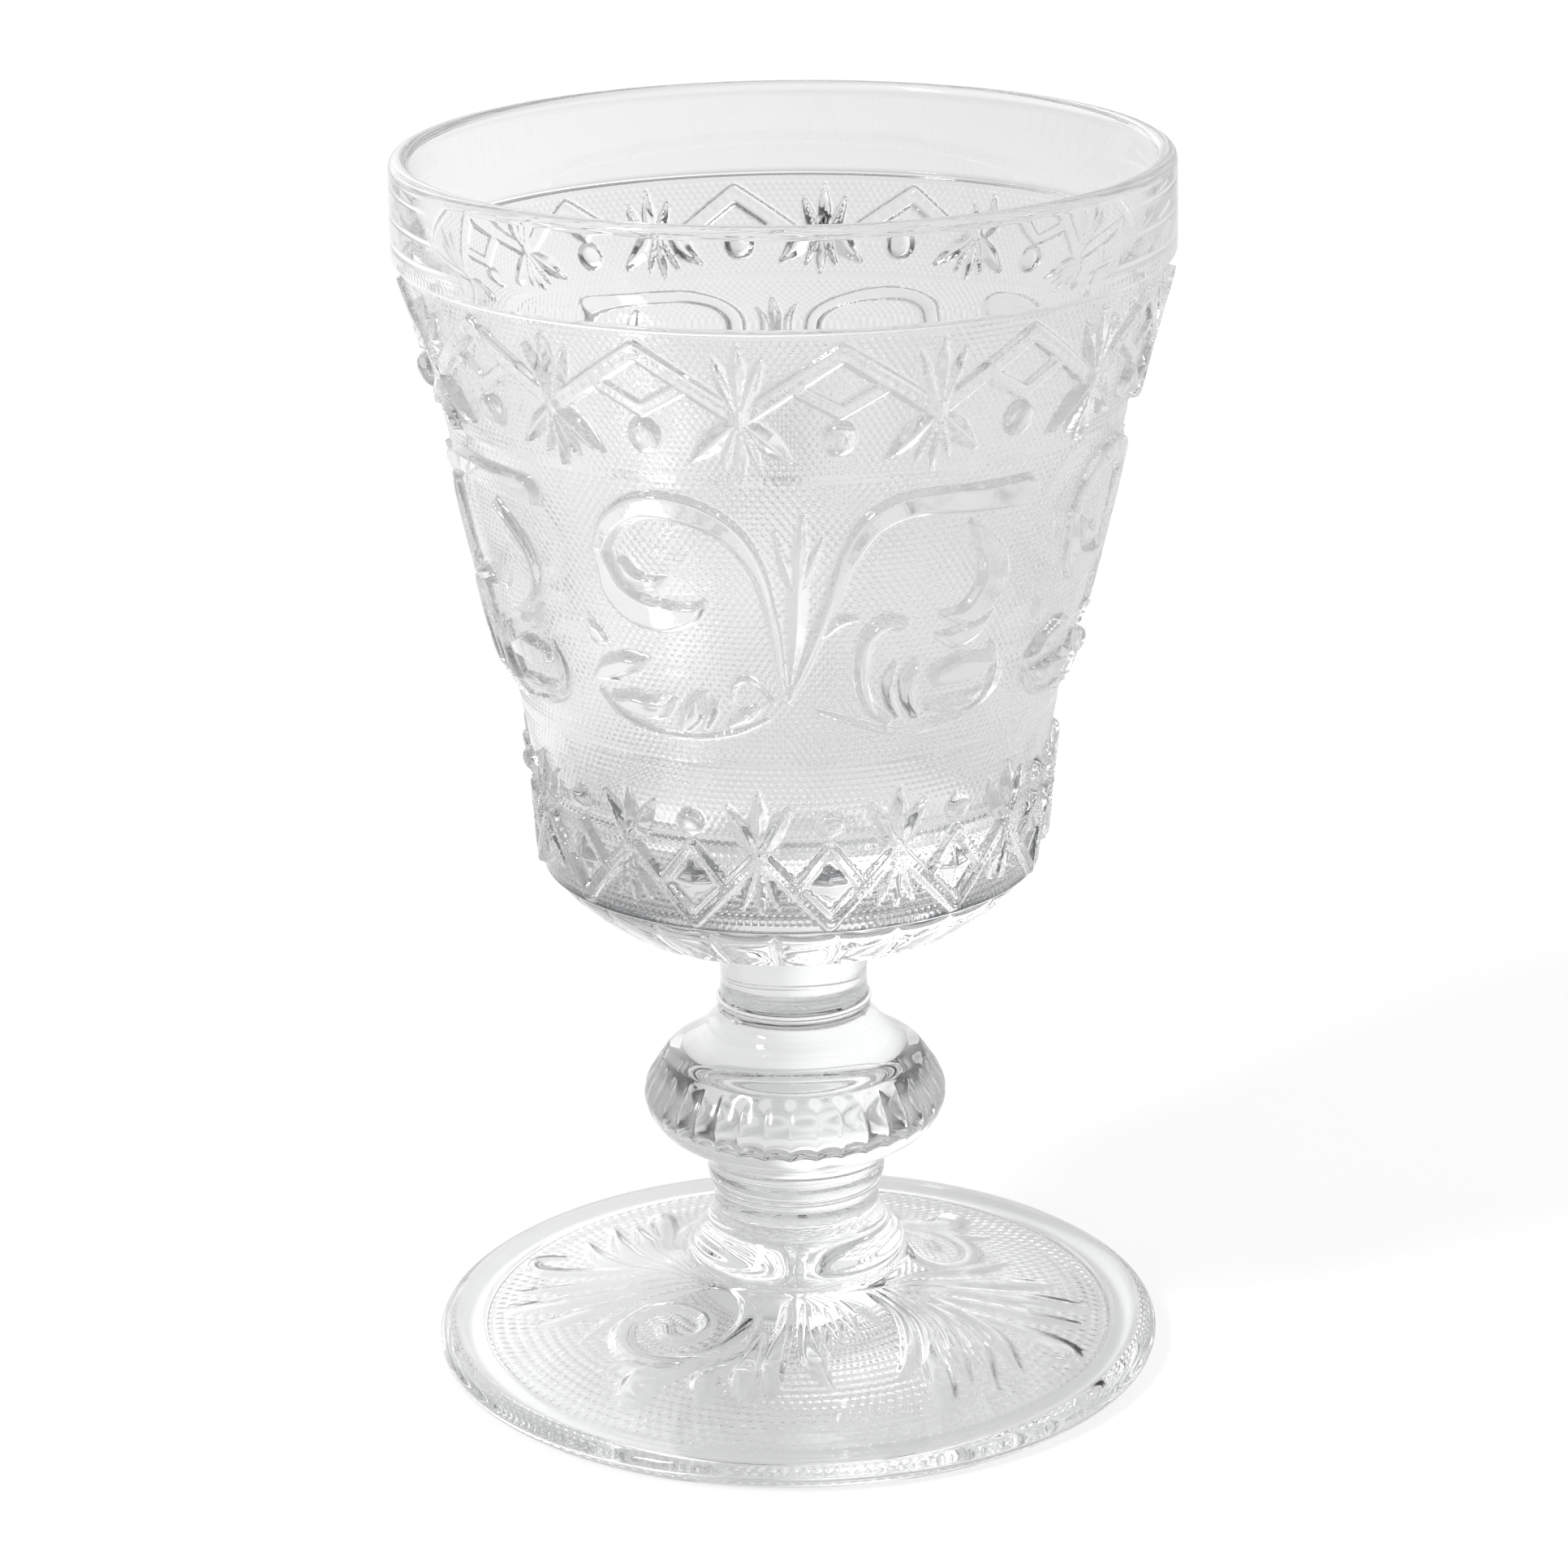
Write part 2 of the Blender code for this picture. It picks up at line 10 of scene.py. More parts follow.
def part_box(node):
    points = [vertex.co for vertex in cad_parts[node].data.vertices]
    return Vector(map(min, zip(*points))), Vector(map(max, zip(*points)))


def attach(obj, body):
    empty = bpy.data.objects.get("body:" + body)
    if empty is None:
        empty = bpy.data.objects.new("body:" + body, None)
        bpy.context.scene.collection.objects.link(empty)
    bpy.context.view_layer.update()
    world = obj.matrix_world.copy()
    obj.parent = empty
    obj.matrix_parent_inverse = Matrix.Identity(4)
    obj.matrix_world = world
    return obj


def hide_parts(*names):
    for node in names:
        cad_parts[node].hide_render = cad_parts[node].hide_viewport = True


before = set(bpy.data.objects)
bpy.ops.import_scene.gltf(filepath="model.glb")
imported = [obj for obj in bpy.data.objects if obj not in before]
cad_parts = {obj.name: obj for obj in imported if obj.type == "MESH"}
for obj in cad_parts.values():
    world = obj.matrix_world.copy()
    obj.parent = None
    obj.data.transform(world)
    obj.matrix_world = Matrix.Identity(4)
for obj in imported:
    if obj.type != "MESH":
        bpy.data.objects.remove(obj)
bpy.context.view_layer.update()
mm = 0.001
scene = bpy.context.scene
print("frame loaded:", ", ".join(sorted(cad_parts)))


# Heights where two sections of glass meet, in mm: the middle of the gap between the two nodes
def meeting(lower, upper):
    return (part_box(lower)[1].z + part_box(upper)[0].z) / 2 / mm


joint = {
    "foot": meeting("foot", "lower_stem"),
    "shank": meeting("lower_stem", "knop"),
    "knop": meeting("knop", "neck"),
    "neck": meeting("neck", "collar"),
    "bowl": meeting("collar", "bowl"),
    "arches": 130.6,    # under the plain rim band
    "scrolls": 114.2,   # plain ground between the arches and the scrolls
    "volutes": 97.4,    # across the scrolls, where the two halves of their ring meet
    "lozenges": 80.6,   # plain ground between the scrolls and the lozenges
}
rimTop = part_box("bowl")[1].z / mm


# Camera
view = {
    "distance": 522.3,   # mm in front of the axis
    "height": 241.1,     # mm over the floor
    "lookDown": 18.28,   # degrees
    "roll": -0.77,       # degrees
    "lens": 110.5,       # mm on a 36 mm sensor
    "aside": -8.6 / 1932,   # the axis stands a little right of the middle
}


def setCamera():
    data = bpy.data.cameras.new("camera")
    data.lens = view["lens"]
    data.sensor_width = 36.0
    data.shift_x = view["aside"]
    data.clip_start = 0.01
    data.clip_end = 50.0
    camera = bpy.data.objects.new("camera", data)
    scene.collection.objects.link(camera)
    tilt = Matrix.Rotation(math.radians(90 - view["lookDown"]), 4, "X")
    roll = Matrix.Rotation(math.radians(view["roll"]), 4, "Z")
    place = Matrix.Translation((0.0, -view["distance"] * mm, view["height"] * mm))
    camera.matrix_world = place @ tilt @ roll
    scene.camera = camera
    print("camera set")


setCamera()


# Node and colour helpers
def linear(hexColour):
    channels = [int(hexColour[i:i + 2], 16) / 255 for i in (1, 3, 5)]
    return tuple(c / 12.92 if c <= 0.04045 else ((c + 0.055) / 1.055) ** 2.4 for c in channels) + (1.0,)


def addNode(tree, kind, inputs=None, **settings):
    made = tree.nodes.new(kind)
    for name, value in settings.items():
        setattr(made, name, value)
    for socket, value in (inputs or {}).items():
        if isinstance(value, bpy.types.NodeSocket):
            tree.links.new(value, made.inputs[socket])
        else:
            made.inputs[socket].default_value = value
    return made


def emptyTree(owner):
    owner.use_nodes = True
    owner.node_tree.nodes.clear()
    return owner.node_tree


# Soda-lime glass, pressed in an iron mould and fire polished: clear and glossy, with the mould's chill left
# as a slow ripple in the skin, a faint grey where it is thick, and a duller skin inside the bowl, where the
# plunger pressed it, on the stippled ground and on the ribs
def pressedGlass(name, look):
    material = bpy.data.materials.new(name)
    tree = emptyTree(material)
    place = addNode(tree, "ShaderNodeTexCoord").outputs["Object"]
    ripple = addNode(tree, "ShaderNodeTexNoise",
                     {"Vector": place, "Scale": 1 / (look["rippleSize"] * mm), "Detail": 1.0,
                      "Roughness": 0.4})
    skin = addNode(tree, "ShaderNodeBump",
                   {"Height": ripple.outputs["Fac"], "Strength": 1.0, "Distance": look["rippleDepth"] * mm})
    cloud = addNode(tree, "ShaderNodeTexNoise",
                    {"Vector": place, "Scale": 1 / (look["hazeSize"] * mm), "Detail": 3.0})
    haze = addNode(tree, "ShaderNodeMapRange",
                   {"Value": cloud.outputs["Fac"], "From Min": 0.35, "From Max": 0.75,
                    "To Min": look["gloss"], "To Max": look["haze"]})
    dull = addNode(tree, "ShaderNodeAttribute", attribute_name="dullness").outputs["Fac"]
    rough = addNode(tree, "ShaderNodeMath", {0: dull, 1: look["frost"], 2: haze.outputs["Result"]},
                    operation="MULTIPLY_ADD")
    glass = addNode(tree, "ShaderNodeBsdfPrincipled",
                    {"Base Color": linear(look["colour"]), "IOR": 1.52, "Transmission Weight": 1.0,
                     "Roughness": rough.outputs[0], "Normal": skin.outputs["Normal"]})
    addNode(tree, "ShaderNodeOutputMaterial", {"Surface": glass.outputs["BSDF"]})
    return material


# Where two sections are fused hot there is no surface left, so light goes straight on; under the bowl a grey
# tint on the joint draws a fine line, a painted shadow line at the seam
def fusedJoint(name, colour):
    material = bpy.data.materials.new(name)
    tree = emptyTree(material)
    through = addNode(tree, "ShaderNodeBsdfTransparent", {"Color": linear(colour)})
    addNode(tree, "ShaderNodeOutputMaterial", {"Surface": through.outputs["BSDF"]})
    return material


# Sizes and depth are in mm, gloss and haze are the least and the most roughness, and frost is added where the
# skin is dull
bowlLook = {"colour": "#FBFBFB", "rippleSize": 9.0, "rippleDepth": 0.012, "hazeSize": 6.0, "gloss": 0.0,
            "haze": 0.03, "frost": 0.1}
stemLook = {"colour": "#FAFBFB", "rippleSize": 7.0, "rippleDepth": 0.012, "hazeSize": 8.0, "gloss": 0.0,
            "haze": 0.02, "frost": 0.14}
footLook = {"colour": "#FAFBFB", "rippleSize": 10.0, "rippleDepth": 0.012, "hazeSize": 7.0, "gloss": 0.0,
            "haze": 0.03, "frost": 0.05}
bowlGlass = pressedGlass("clear soda-lime glass, pressed bowl", bowlLook)
stemGlass = pressedGlass("clear soda-lime glass, pressed stem", stemLook)
footGlass = pressedGlass("clear soda-lime glass, pressed foot", footLook)
jointGlass = fusedJoint("fused glass joint", "#FFFFFF")
# grey tint on the seam under the bowl: a painted shadow line
seamShadowGlass = fusedJoint("painted shadow line at the seam, grey", "#6E767C")
print("glass mixed")


# Curves for the sections and for the ornament
def smoothPath(points, count):
    p = np.asarray(points, float)
    ends = np.vstack([2 * p[0] - p[1], p, 2 * p[-1] - p[-2]])
    t = np.linspace(0, len(p) - 1, count)
    i = np.minimum(t.astype(int), len(p) - 2)
    f = (t - i)[:, None]
    a, b, c, d = ends[i], ends[i + 1], ends[i + 2], ends[i + 3]
    return 0.5 * (2 * b + (c - a) * f + (2 * a - 5 * b + 4 * c - d) * f ** 2
                  + (3 * b - a - 3 * c + d) * f ** 3)


def roundEdge(centre, radius, start, end, count):
    turn = np.radians(np.linspace(start, end, count))
    return [(centre[0] + radius * math.cos(a), centre[1] + radius * math.sin(a)) for a in turn]


def rows(curve, count):
    return [tuple(p) for p in smoothPath(curve, count)]


# The part of a falling line of (radius, height) points between two heights, cut off exactly at both
def between(line, low, high):
    radii, heights = np.array(line)[::-1].T
    kept = np.unique(np.clip(heights, low, high))[::-1]
    return list(zip(np.interp(kept, heights, radii), kept))


# A section of (radius, height) points in mm, turned about the axis from the front: one sector is spun,
# and copies of it are set round the axis and merged
def turned(name, section, columns, closed=False, sectors=8):
    shape = bmesh.new()
    points = [shape.verts.new((0.0, -r * mm, z * mm)) for r, z in section]
    edges = [shape.edges.new(pair) for pair in zip(points[:-1], points[1:])]
    if closed:
        edges.append(shape.edges.new((points[-1], points[0])))
    bmesh.ops.spin(shape, geom=points + edges, axis=(0, 0, 1), cent=(0, 0, 0), steps=columns // sectors,
                   angle=math.tau / sectors)
    sector = shape.verts[:] + shape.edges[:] + shape.faces[:]
    for k in range(1, sectors):
        copy = bmesh.ops.duplicate(shape, geom=sector)["geom"]
        bmesh.ops.rotate(shape, cent=(0, 0, 0), matrix=Matrix.Rotation(math.tau * k / sectors, 3, "Z"),
                         verts=[part for part in copy if isinstance(part, bmesh.types.BMVert)])
    bmesh.ops.remove_doubles(shape, verts=shape.verts[:], dist=1e-6)
    bmesh.ops.recalc_face_normals(shape, faces=shape.faces[:])
    if shape.calc_volume(signed=True) < 0:   # the recalculation can turn a shallow shape inside out
        bmesh.ops.reverse_faces(shape, faces=shape.faces[:])
    mesh = bpy.data.meshes.new(name)
    shape.to_mesh(mesh)
    shape.free()
    piece = bpy.data.objects.new(name, mesh)
    scene.collection.objects.link(piece)
    return piece


def readPoints(mesh):
    flat = np.empty(len(mesh.vertices) * 3)
    mesh.vertices.foreach_get("co", flat)
    return flat.reshape(-1, 3) / mm


def writePoints(mesh, points):
    mesh.vertices.foreach_set("co", (points * mm).ravel())
    mesh.update()


# How dull each point of the surface is, from 0 to 1, for the glass to read
def markDullness(mesh, share):
    mesh.attributes.new("dullness", "FLOAT", "POINT").data.foreach_set("value", share)


# Angle from the front, growing to the right, then radius and height
def polar(points):
    x, y, z = points.T
    return np.degrees(np.arctan2(x, -y)), np.hypot(x, y), z


def setRadius(points, radius):
    scale = radius / np.maximum(np.hypot(points[:, 0], points[:, 1]), 1e-9)
    points[:, 0] *= scale
    points[:, 1] *= scale


# The finish of a section: glass all over, and the fused joint on the flat faces at the heights given
finish = {
    "jointNear": 1e-3,    # mm from the height of the joint
    "jointFlat": 0.999,   # upright part of the face's normal
    "creaseAngle": 70,    # degrees, past which an edge looks sharp
}


def finishGlass(piece, node, glass, joints):
    mesh = piece.data
    mesh.materials.append(glass)
    mesh.materials.append(jointGlass)
    count = len(mesh.polygons)
    centre = np.empty(count * 3)
    normal = np.empty(count * 3)
    mesh.polygons.foreach_get("center", centre)
    mesh.polygons.foreach_get("normal", normal)
    height = centre.reshape(-1, 3)[:, 2] / mm
    upright = np.abs(normal.reshape(-1, 3)[:, 2])
    isJoint = np.zeros(count, bool)
    for z in joints:
        isJoint |= (np.abs(height - z) < finish["jointNear"]) & (upright > finish["jointFlat"])
    mesh.polygons.foreach_set("material_index", isJoint.astype(np.int32))
    mesh.shade_smooth()
    mesh.set_sharp_from_angle(angle=math.radians(finish["creaseAngle"]))
    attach(piece, "root")
    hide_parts(node)
    print(piece.name, "made,", sum(len(p.vertices) - 2 for p in mesh.polygons), "triangles")


# Relief: a stroke of ornament along a path of (across, up) points in mm, with half widths and heights along
# it. A band is flat with round edges, a ridge has two slopes, a strap is a little hollow, and a lobe and a
# frond swell in the middle, the frond with softer edges. Bands and lobes lean out a little at the top
edgeRound = {"band": 0.6, "lobe": 0.9, "frond": 1.1}   # mm
swell = {"band": 0.0, "lobe": 0.08, "frond": 0.25}     # share of the height that is lost at the edge
lean = {"band": 0.05, "lobe": 0.05, "frond": 0.0}      # mm out for each mm up
strapEdge = 0.4      # share of the half width
strapHollow = 0.18   # share of the height
curveSteps = 6       # for each point of a path
lineSteps = 9


def stroke(across, up, points, halfWidths, heights, section="band"):
    if len(points) > 2:
        path = smoothPath(points, curveSteps * len(points))
    else:
        path = np.linspace(points[0], points[1], lineSteps)
    along = np.linspace(0, 1, len(path))
    width = np.interp(along, np.linspace(0, 1, len(halfWidths)), halfWidths)
    height = np.interp(along, np.linspace(0, 1, len(heights)), heights)
    start, run = path[:-1], np.diff(path, axis=0)
    du = across[..., None] - start[:, 0]
    dv = up[..., None] - start[:, 1]
    t = np.clip((du * run[:, 0] + dv * run[:, 1]) / np.maximum((run ** 2).sum(1), 1e-9), 0, 1)
    away = np.hypot(du - t * run[:, 0], dv - t * run[:, 1])
    local = width[:-1] + t * np.diff(width)
    rise = height[:-1] + t * np.diff(height)
    share = np.clip(away / local, 0, 1)
    if section == "ridge":
        return (rise * (1 - share)).max(-1)
    if section == "strap":
        edge = np.clip((1 - share) / strapEdge, 0, 1)
        return (rise * edge * edge * (3 - 2 * edge) * (1 - strapHollow * (1 - share))).max(-1)
    inward = np.clip((local - away) / edgeRound[section], 0, 1)
    rise = rise + lean[section] * (dv - t * run[:, 1])
    return (rise * inward * inward * (3 - 2 * inward) * (1 - swell[section] * share ** 2)).max(-1)


def dome(across, up, centre, radius, height, stretch=1.0):
    away = np.hypot(across - centre[0], (up - centre[1]) / stretch) / radius
    return height * np.sqrt(np.clip(1 - away ** 2, 0, 1))


def lozenge(across, up, centre, halfWide, halfTall, height):
    away = np.abs(across - centre[0]) / halfWide + np.abs(up - centre[1]) / halfTall
    return height * np.clip(1 - away, 0, 1)


# Bowl wall: the ground that the ornament stands on and the smooth inside, as (radius, height) points
bowl = {
    "ground": [(28.35, 62.0), (29.0, 71.0), (30.3, 80.0), (32.65, 89.5), (35.25, 101.0), (37.9, 113.5),
               (40.2, 122.8), (42.5, 131.0)],
    "inside": [(25.6, 72.2), (26.2, 80.0), (28.7, 92.0), (32.6, 105.0), (36.6, 119.0), (40.1, 132.5),
               (41.0, 139.6)],
    "insideRows": 5,   # in each ring of the wall
    "steps": 400,
}
groundCurve = smoothPath(bowl["ground"], bowl["steps"])
insideCurve = smoothPath(bowl["inside"], bowl["steps"])


def groundRadius(z):
    return np.interp(z, groundCurve[:, 1], groundCurve[:, 0])


def insideRadius(z):
    return np.interp(z, insideCurve[:, 1], insideCurve[:, 0])


# Rows of stipple dots pressed into the ground, fading out at the joints above and below, and up the sides of
# the ornament to the clear height
stipple = {"height": 0.14, "fade": 0.8, "clear": 0.1, "dullness": 0.4}


# How far each point of a grid is up its dot, from 0 to 1; every other row of dots is staggered
def dotShare(column, row, columnsPerDot, rowsPerDot):
    stagger = 0.5 * columnsPerDot * (row // rowsPerDot % 2)
    across = 0.5 + 0.5 * np.cos(math.tau * (column + stagger) / columnsPerDot)
    return across * (0.5 - 0.5 * np.cos(math.tau * (row % rowsPerDot + 0.5) / rowsPerDot))


def dots(frieze, shape, heights):
    share = dotShare(np.arange(shape[1])[None, :], np.arange(shape[0])[:, None],
                     frieze["dotColumns"], frieze["dotRows"])
    ends = [end for end in (heights[0], heights[-1]) if end != joint["volutes"]]
    fade = np.clip(np.minimum.reduce([abs(heights - end) for end in ends]) / stipple["fade"], 0, 1)
    return stipple["height"] * share * fade[:, None]


# A ring of the wall between two heights, with its ornament repeated round it
def makeRing(name, low, high, frieze, ornament):
    heights = np.linspace(joint[high], joint[low], frieze["rows"])
    outer = [(groundRadius(z), z) for z in heights]
    inner = [(insideRadius(z), z) for z in np.linspace(joint[low], joint[high], bowl["insideRows"])]
    piece = turned(name, outer + inner, frieze["columns"], closed=True)
    raiseRelief(piece, heights, frieze, ornament)
    finishGlass(piece, "bowl", bowlGlass, [joint[low], joint[high]])


def raiseRelief(piece, heights, frieze, ornament):
    columns = frieze["columns"]
    unit = 360 / frieze["repeats"]
    unitColumns = columns // frieze["repeats"]
    angles = np.arange(unitColumns) * 360 / columns
    local = (angles - frieze["turn"] + unit / 2) % unit - unit / 2
    angle, z = np.meshgrid(local, heights)
    relief = ornament(np.radians(angle) * groundRadius(z), z)
    bare = np.clip(1 - relief / stipple["clear"], 0, 1)
    relief = relief + bare * dots(frieze, relief.shape, heights)
    points = readPoints(piece.data)
    turnOf, radius, height = polar(points)
    inRange = (height > heights[-1] - finish["jointNear"]) & (height < heights[0] + finish["jointNear"])
    outer = inRange & (radius > (groundRadius(height) + insideRadius(height)) / 2)
    column = np.rint(turnOf / 360 * columns).astype(int) % unitColumns
    row = np.rint((heights[0] - height) / (heights[0] - heights[-1]) * (len(heights) - 1)).astype(int)
    grown = radius.copy()
    grown[outer] += relief[row[outer], column[outer]]
    setRadius(points, grown)
    writePoints(piece.data, points)
    dullness = np.where(inRange, 1.0, 0.0)
    dullness[outer] = stipple["dullness"] * bare[row[outer], column[outer]]
    markDullness(piece.data, dullness)


# Fleuron: a fan of pointed leaves above and below a small boss. A leaf's root and tip have half widths in mm,
# and the points between have shares of its own half width
leafShape = {"root": 0.25, "body": (0.8, 1.0, 0.65), "tip": 0.05}


def fleuron(across, up, centre, fan):
    height = dome(across, up, centre, fan["boss"], fan["bossHeight"])
    for reach, rise, halfWidth in fan["leaves"]:
        for side in ((-1, 1) if reach else (1,)):
            tip = (centre[0] + side * reach, centre[1] + rise)
            body = [share * halfWidth for share in leafShape["body"]]
            widths = [leafShape["root"]] + body + [leafShape["tip"]]
            leaf = stroke(across, up, [centre, tip], widths, [fan["height"]], "ridge")
            height = np.maximum(height, leaf)
    return height


# Straps keep their angles while the wall flares, so they are laid out on the wall at the fleuron: the place
# across and half of one repeat, both in mm there
def layOut(across, up, frieze):
    wall = groundRadius(frieze["fleuronHeight"])
    return across / groundRadius(up) * wall, math.radians(180 / frieze["repeats"]) * wall


# Upper frieze: straps rise from each fleuron to a point, with a small strap hung below and a pearl
arches = {
    "repeats": 12, "turn": -6.9, "columns": 1152, "rows": 78, "dotColumns": 4, "dotRows": 3,
    "fleuronHeight": 121.3, "apexHeight": 128.6, "hangHeight": 121.9, "pearlHeight": 119.0,
    "strap": 1.15, "strapRelief": 0.85, "hang": 0.9, "hangRelief": 0.7,
    "pearl": 1.85, "pearlRelief": 1.6, "pearlStretch": 1.1,
    "fan": {"boss": 1.1, "bossHeight": 1.3, "height": 1.3,
            # reach to each side, rise and half width
            "leaves": [(0.0, 8.2, 1.1), (2.5, 6.9, 0.95), (0.0, -6.8, 0.9), (2.0, -5.6, 0.7),
                       (5.4, -5.0, 1.5)]},
}


def archRelief(across, up):
    u, half = layOut(across, up, arches)
    boss = (0.0, arches["fleuronHeight"])
    height = fleuron(u, up, boss, arches["fan"])
    middle = (arches["fleuronHeight"] + arches["apexHeight"]) / 2
    for side in (-1, 1):
        edge = side * half
        strap = stroke(u, up, [boss, (edge, arches["apexHeight"])],
                       [arches["strap"]], [arches["strapRelief"]], "strap")
        hang = stroke(u, up, [(edge / 2, middle), (edge, arches["hangHeight"])],
                      [arches["hang"]], [arches["hangRelief"]], "strap")
        pearl = dome(u, up, (edge, arches["pearlHeight"]), arches["pearl"], arches["pearlRelief"],
                     arches["pearlStretch"])
        height = np.maximum.reduce([height, strap, hang, pearl])
    return height


# Scroll frieze: a plume between a volute on the left and a long band with its crescent on the right, both
# over lobed leaves. Paths are (degrees from the plume, mm up), with half widths in mm along each
scrolls = {
    "repeats": 4, "turn": 2.2, "columns": 1160, "rows": 79, "dotColumns": 5, "dotRows": 3,
    "relief": 1.15, "leafRelief": 1.6, "flatRelief": 0.6, "leafletRelief": 0.805,
    "bands": [
        # long band, then its crescent
        ([(40.3, 110.2), (30.8, 110.5), (22.8, 110.8), (16.8, 110.6), (11.8, 109.0), (8.8, 106.3),
          (6.8, 103.3), (5.0, 100.0), (2.8, 96.3), (-0.2, 91.8), (-2.7, 88.6)],
         [1.95, 1.75, 1.65, 1.6, 1.5, 1.35, 1.1, 0.9, 0.8, 0.7, 0.4]),
        ([(29.8, 107.6), (32.8, 105.3), (35.3, 102.8), (35.6, 100.3), (33.3, 98.0), (29.8, 97.0),
          (25.8, 97.5)],
         [0.6, 1.4, 2.0, 2.1, 1.8, 1.2, 0.4]),
        # volute, its comma and the lobe inside it
        ([(-35.2, 105.2), (-32.7, 108.2), (-28.2, 110.4), (-23.7, 111.0), (-18.2, 110.5), (-13.2, 109.0),
          (-9.8, 106.8), (-7.2, 103.8), (-5.6, 100.2), (-4.4, 96.0), (-3.6, 91.8), (-3.0, 88.8)],
         [1.2, 1.5, 1.65, 1.7, 1.65, 1.5, 1.3, 1.0, 0.8, 0.8, 0.6, 0.4]),
        ([(-35.0, 104.8), (-34.4, 103.0), (-33.2, 100.6), (-29.7, 98.7), (-24.2, 98.1), (-19.7, 98.6),
          (-16.7, 100.0)],
         [1.1, 1.3, 1.7, 2.0, 2.0, 1.3, 0.4]),
        ([(-31.2, 104.0), (-29.6, 102.4), (-26.7, 101.9), (-23.2, 102.8)], [0.8, 1.1, 1.1, 0.3]),
    ],
    "leaves": [
        # right leaf: hook, two ribs, boss, lens and lower edge
        ([(18.2, 97.0), (14.8, 97.3), (11.8, 95.6), (11.0, 92.8), (11.4, 89.8), (13.4, 87.2), (16.8, 85.6)],
         [1.0, 1.05, 1.1, 1.1, 1.0, 0.9, 0.7]),
        ([(17.6, 92.4), (16.2, 90.2), (17.0, 87.8), (18.8, 86.0)], [0.4, 0.9, 0.9, 0.6]),
        ([(21.6, 92.2), (20.3, 90.2), (20.8, 88.0), (22.4, 85.9)], [0.6, 1.2, 1.2, 0.8]),
        ([(26.6, 90.2), (30.8, 90.6), (34.8, 90.6), (37.8, 91.4)], [1.5, 2.05, 1.7, 0.6]),
        ([(25.0, 86.6), (29.8, 86.4), (33.8, 86.6), (37.8, 87.6)], [0.6, 1.15, 0.95, 0.4]),
        ([(38.3, 92.6), (40.2, 89.6), (39.0, 86.8), (34.4, 85.0), (28.8, 84.4), (23.3, 83.9), (16.8, 84.3),
          (9.8, 85.8), (2.8, 87.3)],
         [0.5, 0.8, 0.7, 0.6, 0.6, 0.6, 0.55, 0.5, 0.35]),
        # left leaf: long lobe, boss, two ribs, root lobe and lower edge
        ([(-41.2, 89.6), (-37.2, 90.9), (-33.2, 91.9), (-28.7, 92.8)], [0.5, 1.7, 1.6, 0.4]),
        ([(-37.6, 87.7), (-33.2, 87.2), (-28.4, 87.0), (-25.2, 88.0)], [0.6, 1.6, 1.7, 0.7]),
        ([(-19.2, 89.0), (-20.6, 87.0), (-22.6, 85.2)], [0.8, 1.6, 1.0]),
        ([(-16.2, 88.4), (-17.4, 86.8), (-18.6, 85.2)], [0.5, 0.9, 0.6]),
        ([(-8.4, 87.8), (-10.8, 86.8), (-14.0, 85.6)], [0.6, 1.05, 0.5]),
        ([(-13.0, 88.6), (-12.2, 90.6), (-9.6, 91.2), (-7.0, 90.0), (-5.2, 88.2)], [0.3, 0.5, 0.6, 0.5, 0.3]),
        ([(-40.8, 88.0), (-36.6, 85.4), (-31.2, 84.2), (-26.2, 83.8), (-19.2, 83.9), (-12.2, 84.8),
          (-6.2, 86.4)],
         [0.5, 0.6, 0.6, 0.6, 0.55, 0.5, 0.35]),
    ],
    # flat leaves between the crescents and the lobes, lower than the rest
    "flats": [([(25.3, 95.0), (29.8, 94.4), (33.8, 95.0), (37.3, 96.6)], [0.5, 1.6, 1.3, 0.4]),
              ([(-41.0, 96.8), (-39.4, 94.8), (-36.4, 93.9)], [0.4, 1.4, 0.4])],
    "plume": ([(0.2, 110.0), (-0.2, 106.0), (-0.6, 101.0), (-1.0, 96.0), (-1.9, 91.0)],
              [0.25, 0.9, 1.15, 1.0, 0.4]),
    "budLeaf": ([(10.0, 98.0), (7.0, 97.9), (4.2, 96.6)], [0.2, 0.8, 0.6]),
    "leaflets": [[(-1.0, 101.0), (-2.6, 104.5), (-4.4, 108.4)], [(-0.6, 101.0), (1.6, 104.5), (3.4, 107.6)]],
    "leafletWidths": [0.2, 0.8, 0.1],
}


def onWall(points):
    return [(math.radians(a) * groundRadius(z), z) for a, z in points]


def scrollRelief(across, up):
    full, high = [scrolls["relief"]], [scrolls["leafRelief"]]
    flat, low = [scrolls["flatRelief"]], [scrolls["leafletRelief"]]
    parts = [stroke(across, up, onWall(path), widths, full) for path, widths in scrolls["bands"]]
    parts += [stroke(across, up, onWall(path), widths, high, "lobe") for path, widths in scrolls["leaves"]]
    parts += [stroke(across, up, onWall(path), widths, flat, "lobe") for path, widths in scrolls["flats"]]
    for path, widths in (scrolls["plume"], scrolls["budLeaf"]):
        parts.append(stroke(across, up, onWall(path), widths, full, "ridge"))
    for leaflet in scrolls["leaflets"]:
        parts.append(stroke(across, up, onWall(leaflet), scrolls["leafletWidths"], low, "ridge"))
    return np.maximum.reduce(parts)


